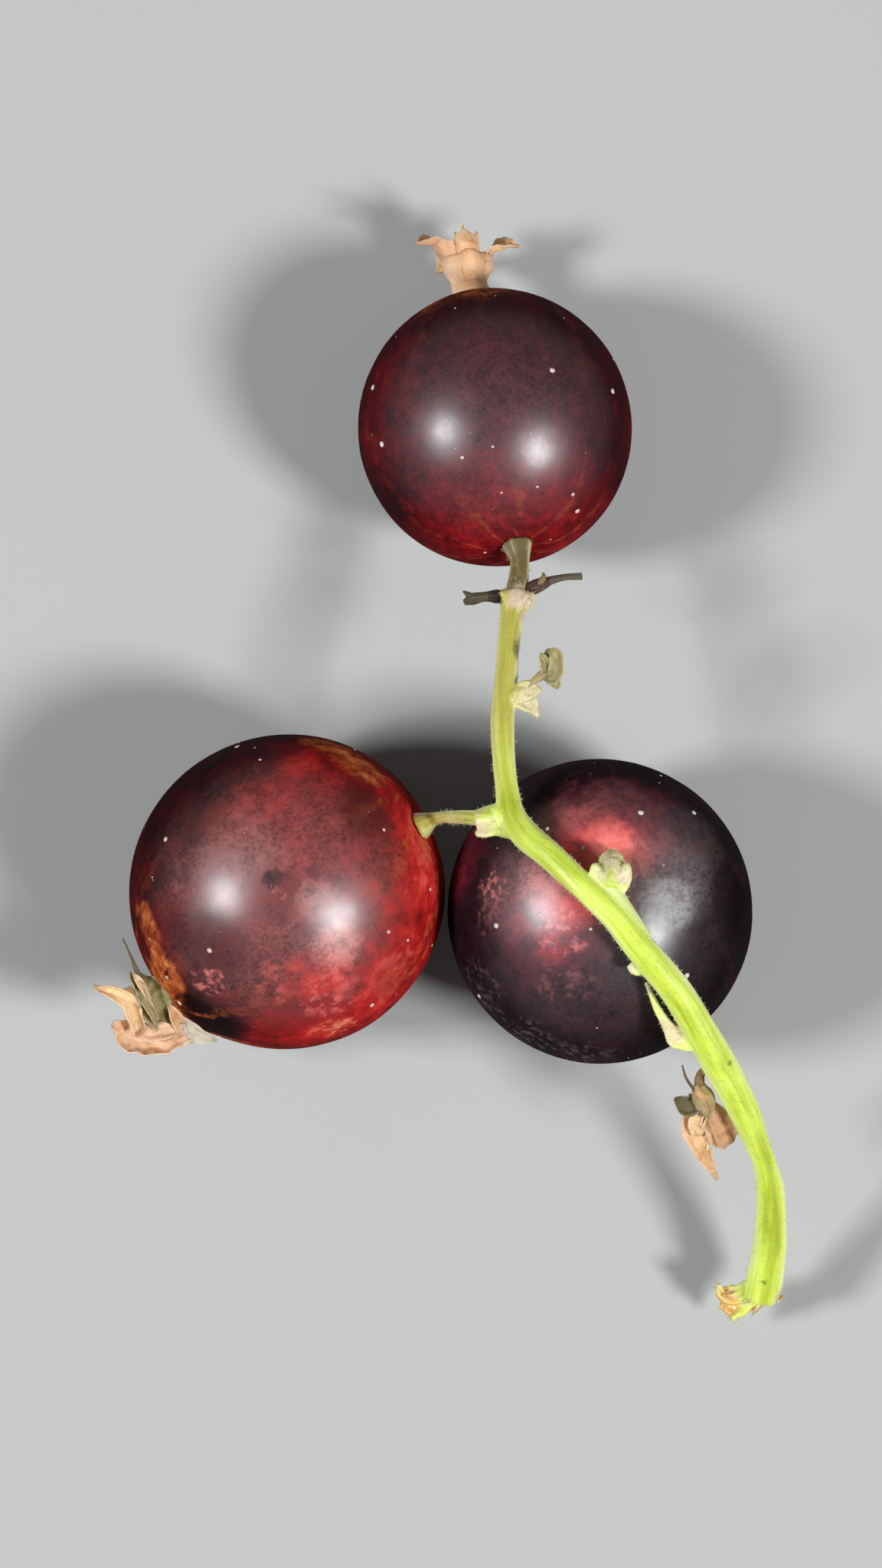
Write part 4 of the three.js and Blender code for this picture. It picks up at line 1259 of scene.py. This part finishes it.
# each dried lobe: the way it faces, its colour, cup, roll, crumple, thickness and seed, and its
# route with a half breadth
SIDE_LOBES = [
    # the pale skirt of the calyx, along the rim of the berry
    ((-0.4, -0.3, 1), PALE, 0.3, 0.0, 0.05, 0.1, 26,
     [(-9.5, -8.75, 5.9, 0.3), (-9.05, -9.05, 6.1, 0.38), (-8.55, -9.32, 6.0, 0.28),
      (-8.1, -9.45, 5.8, 0.1)]),
    # the broad lobe below, cupped up at its end
    ((0.1, 0.45, 1), ROSE, 0.6, 0.2, 0.09, 0.1, 21,
     [(-9.05, -9.2, 5.9, 0.34), (-9.6, -9.38, 6.05, 0.58), (-10.5, -9.5, 6.05, 0.84),
      (-11.3, -9.3, 6.2, 0.84), (-11.85, -8.85, 6.6, 0.56)]),
    ((0.1, 0.3, 1), ROSE, 0.4, 0.0, 0.08, 0.1, 28,
     [(-9.6, -9.1, 6.15, 0.26), (-10.1, -9.12, 6.35, 0.38), (-10.55, -9.1, 6.42, 0.42),
      (-10.85, -9.05, 6.42, 0.3)]),
    # the rolled lobe that points left
    ((0.7, -0.35, 0.9), CREAM, 1.0, 0.5, 0.07, 0.1, 22,
     [(-10.95, -9.05, 6.45, 0.4), (-11.12, -8.55, 6.75, 0.5), (-11.36, -8.02, 6.95, 0.54),
      (-11.85, -7.66, 6.95, 0.42), (-12.48, -7.44, 6.6, 0.14)]),
    # the upper lobes, which lean back over the berry's side
    ((0.4, -0.1, 1), FAWN, 0.3, 0.7, 0.18, 0.08, 23,
     [(-9.8, -9.05, 6.0, 0.4), (-10.2, -8.4, 6.4, 0.62), (-10.55, -7.7, 6.6, 0.66),
      (-10.9, -7.0, 6.5, 0.3)]),
    ((0.5, -0.1, 1), KHAKI, 0.7, 0.5, 0.16, 0.08, 37,
     [(-10.25, -8.75, 6.45, 0.18), (-10.55, -8.2, 6.8, 0.24), (-10.9, -7.55, 6.85, 0.22),
      (-11.2, -7.0, 6.7, 0.1)]),
    ((0.3, -0.1, 1), CREAM, 0.7, 0.0, 0.05, 0.08, 41,
     [(-10.5, -7.95, 6.75, 0.1), (-10.75, -7.45, 6.95, 0.16), (-11.05, -7.0, 6.85, 0.08)]),
    ((0.6, 0.2, 1), PEACH, 0.5, 0.0, 0.06, 0.08, 27,
     [(-9.4, -9.0, 6.0, 0.3), (-9.6, -8.6, 6.3, 0.34), (-9.8, -8.15, 6.45, 0.14)]),
    # the two lobes underneath
    ((0.5, 0.3, -0.6), PEACH, 0.35, 0.0, 0.07, 0.08, 24,
     [(-10.2, -9.1, 5.2, 0.5), (-10.9, -9.2, 4.7, 0.6), (-11.4, -8.8, 4.1, 0.5),
      (-11.5, -8.5, 3.7, 0.25)]),
    ((0.5, -0.3, -0.6), TAN, 0.35, 0.0, 0.07, 0.08, 25,
     [(-10.1, -8.9, 5.2, 0.5), (-10.8, -8.3, 4.8, 0.55), (-11.35, -7.9, 4.5, 0.45),
      (-11.8, -7.75, 4.2, 0.22)]),
]
SIDE_TUBE = [(-9.5, -9.1, 5.3, 0.56), (-10.1, -9.15, 5.3, 0.6), (-10.6, -9.05, 5.4, 0.66)]
SIDE_THREADS = [
    ([(-10.7, -7.4, 6.7, 0.1), (-10.97, -6.83, 6.75, 0.09), (-11.13, -6.44, 6.75, 0.05),
      (-11.45, -5.75, 6.6, 0.03)], MOSS),
]
FLOWER_LOBES = [
    ((0.2, 0.2, 1), MOSS, 0.5, 0.4, 0.07, 0.08, 31,
     [(9.2, -11.55, 8.5, 0.36), (8.75, -11.7, 8.65, 0.46), (8.3, -11.42, 8.8, 0.24)]),
    ((-0.1, 0.3, 1), PEACH, 0.5, 0.3, 0.09, 0.08, 32,
     [(9.3, -11.85, 8.3, 0.4), (9.02, -12.4, 8.1, 0.46), (9.38, -13.35, 7.4, 0.38),
      (9.96, -14.45, 6.7, 0.14)]),
    ((-0.1, 0.3, 1), CREAM, 0.5, 0.0, 0.08, 0.08, 42,
     [(9.25, -11.95, 8.45, 0.2), (9.1, -12.35, 8.3, 0.3), (9.22, -12.8, 8.0, 0.2)]),
    ((0.2, 0.2, 1), PINK, 0.3, 0.4, 0.09, 0.08, 33,
     [(9.5, -11.8, 8.2, 0.42), (9.92, -12.5, 7.6, 0.64), (10.3, -13.2, 6.85, 0.4)]),
    ((-0.5, 0.3, 0.5), TAN, 0.5, 0.0, 0.07, 0.08, 34,
     [(9.5, -12.0, 8.0, 0.35), (9.3, -12.6, 7.2, 0.4), (9.0, -12.9, 6.5, 0.16)]),
]
# the dried knob that the flower hangs from, and what is left of its stamens
FLOWER_THREADS = [
    ([(9.6, -10.2, 9.5, 0.13), (9.26, -10.5, 9.25, 0.15), (9.2, -10.78, 9.1, 0.2),
      (9.24, -10.95, 8.98, 0.16)], UMBER),
    ([(9.23, -10.9, 9.0, 0.2), (9.25, -11.1, 8.9, 0.34), (9.36, -11.45, 8.72, 0.42),
      (9.45, -11.8, 8.45, 0.34), (9.52, -12.1, 8.2, 0.2)], KHAKI),
    ([(9.08, -10.95, 9.2, 0.08), (9.2, -11.25, 9.28, 0.15), (9.5, -11.35, 9.15, 0.1)], TAN),
    ([(9.1, -11.2, 9.1, 0.06), (8.72, -10.65, 9.3, 0.05), (8.58, -10.2, 9.35, 0.03)], GREY_TAN),
    ([(9.5, -12.1, 8.2, 0.05), (9.6, -12.8, 7.8, 0.04), (9.55, -13.3, 7.4, 0.06)], STRAW),
    ([(9.45, -12.1, 8.2, 0.05), (9.75, -12.75, 7.9, 0.04), (9.95, -13.2, 7.6, 0.06)], TAN),
]
BUD_LOBES = [
    ((-0.4, 0.1, 1), OLIVE, 0.6, 0.3, 0.06, 0.1, 51,
     [(3.8, 3.5, 9.55, 0.22), (4.08, 3.65, 9.7, 0.34), (4.18, 4.05, 9.82, 0.36),
      (4.06, 4.42, 9.86, 0.3), (3.8, 4.58, 9.8, 0.12)]),
    ((0.0, 0.2, 1), OLIVE, 0.5, 0.0, 0.05, 0.1, 52,
     [(3.85, 3.6, 9.5, 0.24), (4.05, 3.4, 9.5, 0.26), (4.15, 3.2, 9.42, 0.14)]),
    ((0.5, 0.0, 1), OLIVE, 0.6, 0.0, 0.06, 0.1, 53,
     [(3.66, 3.8, 9.65, 0.16), (3.66, 4.15, 9.82, 0.22), (3.55, 4.45, 9.8, 0.1)]),
]
BUD_LIMBS = [
    ([(2.95, 3.05, 9.15, 0.13), (3.3, 3.45, 9.35, 0.13), (3.58, 3.66, 9.45, 0.18),
      (3.75, 3.75, 9.5, 0.2)], KHAKI),
    ([(3.6, 3.62, 9.4, 0.2), (3.85, 3.78, 9.42, 0.34), (3.98, 4.05, 9.45, 0.38),
      (3.92, 4.34, 9.5, 0.32), (3.7, 4.5, 9.55, 0.14)], FAWN),
]
# the dead stalks are darker than their dry brown alone: their colours are partly painted shade
LEFT_LIMBS = [
    ([(2.35, 6.5, 7.85, 0.2), (1.98, 6.52, 7.85, 0.25), (1.72, 6.52, 7.8, 0.2)], DARK),
    ([(1.85, 6.52, 7.83, 0.2), (1.5, 6.5, 7.75, 0.18), (1.1, 6.42, 7.65, 0.22),
      (0.85, 6.3, 7.55, 0.12)], SEPIA),
    ([(1.2, 6.45, 7.7, 0.12), (0.95, 6.6, 7.75, 0.1), (0.8, 6.7, 7.7, 0.04)], SEPIA),
]
RIGHT_LIMBS = [
    ([(2.9, 6.62, 7.78, 0.18), (3.3, 6.82, 7.77, 0.26), (3.7, 7.0, 7.7, 0.22),
      (3.95, 7.1, 7.66, 0.14)], BROWN),
    ([(3.8, 7.05, 7.7, 0.16), (4.4, 7.2, 7.6, 0.12), (5.05, 7.25, 7.5, 0.13)], GREY_TAN),
    ([(3.5, 6.95, 7.85, 0.14), (3.68, 7.2, 7.9, 0.1), (3.66, 7.36, 7.85, 0.04)], UMBER),
]


def crown(name, tints, neck, mouth, depth, lobes, spread, curl, breadth, seed):
    """A berry's dried calyx: a pleated tube with five lobes round its mouth, each bent its own way,
    and the threads of the flower's stamens inside. It returns the shells, and routes for the
    threads."""
    draw = np.random.default_rng(seed)
    foot = np.array(over_berry(name, "calyx", 0.0))
    turn = Vector((0, 0, 1)).rotation_difference(Vector(unit(BERRIES[name]["calyx"])))

    def put(x, y, z):
        return tuple(foot + np.array(turn @ Vector((x, y, z))))

    tube = ((-0.05, neck), (0.3 * depth, 0.82 * neck), (0.75 * depth, 0.95 * mouth), (depth, mouth))
    shells = [papery_tube([(*put(0, 0, high), wide) for high, wide in tube], tints[0], seed=seed)]
    for i, length in enumerate(lobes):
        around = (i + 0.35 * draw.uniform()) / len(lobes) * math.tau
        bend = curl * draw.uniform(0.6, 1.4)
        twist = draw.uniform(-0.35, 0.35)
        route = []
        for share, wide in ((0, 0.95), (0.3, 1.1), (0.65, 0.95), (1, 0.4)):
            lean = spread + bend * share
            out = 0.7 * mouth + length * share * math.sin(lean)
            high = 0.7 * depth + length * share * math.cos(lean)
            swing = around + twist * share
            spot = put(out * math.cos(swing), out * math.sin(swing), high)
            route.append((*spot, breadth * wide))
        inward = turn @ Vector((-math.cos(around), -math.sin(around), 0.5))
        cup = draw.uniform(0.3, 0.8)
        roll = draw.uniform(-0.2, 1.1)
        tint = tints[i % len(tints)]
        shells.append(papery_lobe(inward, tint, cup, roll, 0.1, 0.08, seed + i + 1, route))
    threads = []
    for _ in range(7):
        x, y = draw.normal(size=2) * 0.22 * mouth
        bend_x, bend_y = draw.normal(size=2) * 0.3
        tall = depth + draw.uniform(0.3, 0.9) * lobes[0]
        threads.append(([
            (*put(x, y, 0.4 * depth), 0.05),
            (*put(x + 0.4 * bend_x, y + 0.4 * bend_y, 0.7 * tall), 0.04),
            (*put(x + bend_x, y + bend_y, tall), 0.06),
        ], STRAW))
    return shells, threads


def dried_piece(limbs, paper, name, node, slot, shells, threads):
    """A piece from dried shells and limbs, pressed flat where it meets the table."""
    meshes = [mesh_of(shells, paper)] if shells else []
    if threads:
        wrinkles = (0.55, 0.6, 3.0)
        meshes.append(grow_limbs(limbs, threads, paper, step=0.07, sides=8, wrinkles=wrinkles))
    mesh = one_mesh(meshes)
    points = rows_of(mesh.vertices, "co")
    points[:, 2] = np.maximum(points[:, 2], 0.0)
    mesh.vertices.foreach_set("co", points.ravel())
    piece(name, mesh, node)


def make_dried_parts(limbs, paper):
    # the side berry's calyx, bent over to the left, with its lobes rolled and torn
    tube = [(*over_berry("side", "calyx", TUBE_GAP), 0.74), *SIDE_TUBE]
    side = [papery_tube(tube, PALE, seed=2, pleat_depth=0.1, crumple=0.04)]
    side += [papery_lobe(*lobe) for lobe in SIDE_LOBES]
    # the middle berry's, pressed flat by its weight, and the end berry's
    middle = crown(
        "middle", (TAN, PEACH), neck=0.8, mouth=0.9, depth=0.75, lobes=(0.9, 0.8, 1.0, 0.8, 0.9),
        spread=1.0, curl=0.5, breadth=0.5, seed=5,
    )
    end = crown(
        "end", (PEACH, TAN, PEACH, PINK), neck=0.72, mouth=0.85, depth=1.4,
        lobes=(1.5, 1.7, 1.4, 1.9, 1.5), spread=0.35, curl=0.8, breadth=0.55, seed=23,
    )
    flower = [papery_lobe(*lobe) for lobe in FLOWER_LOBES]
    bud = [papery_lobe(*lobe) for lobe in BUD_LOBES]
    parts = (
        ("side_calyx", "calyx_side", "dry_calyx", side, SIDE_THREADS),
        ("middle_calyx", "calyx_middle", "dry_calyx", *middle),
        ("end_calyx", "calyx_end", "dry_calyx", *end),
        ("flower_remains", "withered_flower", "dry_calyx", flower, FLOWER_THREADS),
        ("bud_remains", "withered_bud", "dry_olive", bud, BUD_LIMBS),
        ("left_stub", "dead_stalk_left", "dry_olive", [], LEFT_LIMBS),
        ("right_stub", "dead_stalk_right", "dry_calyx", [], RIGHT_LIMBS),
    )
    for part in parts:
        dried_piece(limbs, paper, *part)


# ---- The table, the lights and the camera ----


def make_table():
    mesh = bpy.data.meshes.new("table")
    r = TABLE_REACH
    mesh.from_pydata([(-r, -r, 0), (r, -r, 0), (r, r, 0), (-r, r, 0)], [], [(0, 1, 2, 3)])
    mesh.materials.append(table_material())
    table = bpy.data.objects.new("table", mesh)
    bpy.context.scene.collection.objects.link(table)


def make_softbox(name, way, power, tint):
    lamp = bpy.data.lights.new(name, "AREA")
    lamp.shape = "DISK"
    lamp.size = SOFTBOX_SIZE
    lamp.energy = power
    lamp.color = tint
    box = bpy.data.objects.new(name, lamp)
    box.location = Vector(unit(way)) * SOFTBOX_AWAY
    box.rotation_euler = Vector(unit(way)).to_track_quat("Z", "Y").to_euler()
    bpy.context.scene.collection.objects.link(box)


def make_lights():
    make_softbox("left_softbox", (-0.703, -0.028, 0.711), 3.0, (0.93, 0.97, 1.0))
    make_softbox("right_softbox", (0.598, -0.28, 0.749), 3.38, (0.95, 0.98, 1.0))
    room = bpy.data.worlds.new("room")
    room.use_nodes = True
    room.node_tree.nodes["Background"].inputs["Color"].default_value = (0.11, 0.113, 0.116, 1)
    bpy.context.scene.world = room


def make_camera():
    lens = bpy.data.cameras.new("camera")
    lens.sensor_fit = "VERTICAL"
    lens.angle = math.radians(CAMERA_ANGLE)
    lens.clip_start = 0.01
    camera = bpy.data.objects.new("camera", lens)
    camera.location = CAMERA_PLACE
    bpy.context.scene.collection.objects.link(camera)
    bpy.context.scene.camera = camera
    bpy.context.scene.view_settings.view_transform = "Standard"


limb_maker = limb_tree()
make_berries()
paper_look = paper_material()
make_stem(limb_maker, paper_look)
make_dried_parts(limb_maker, paper_look)
make_table()
make_lights()
make_camera()
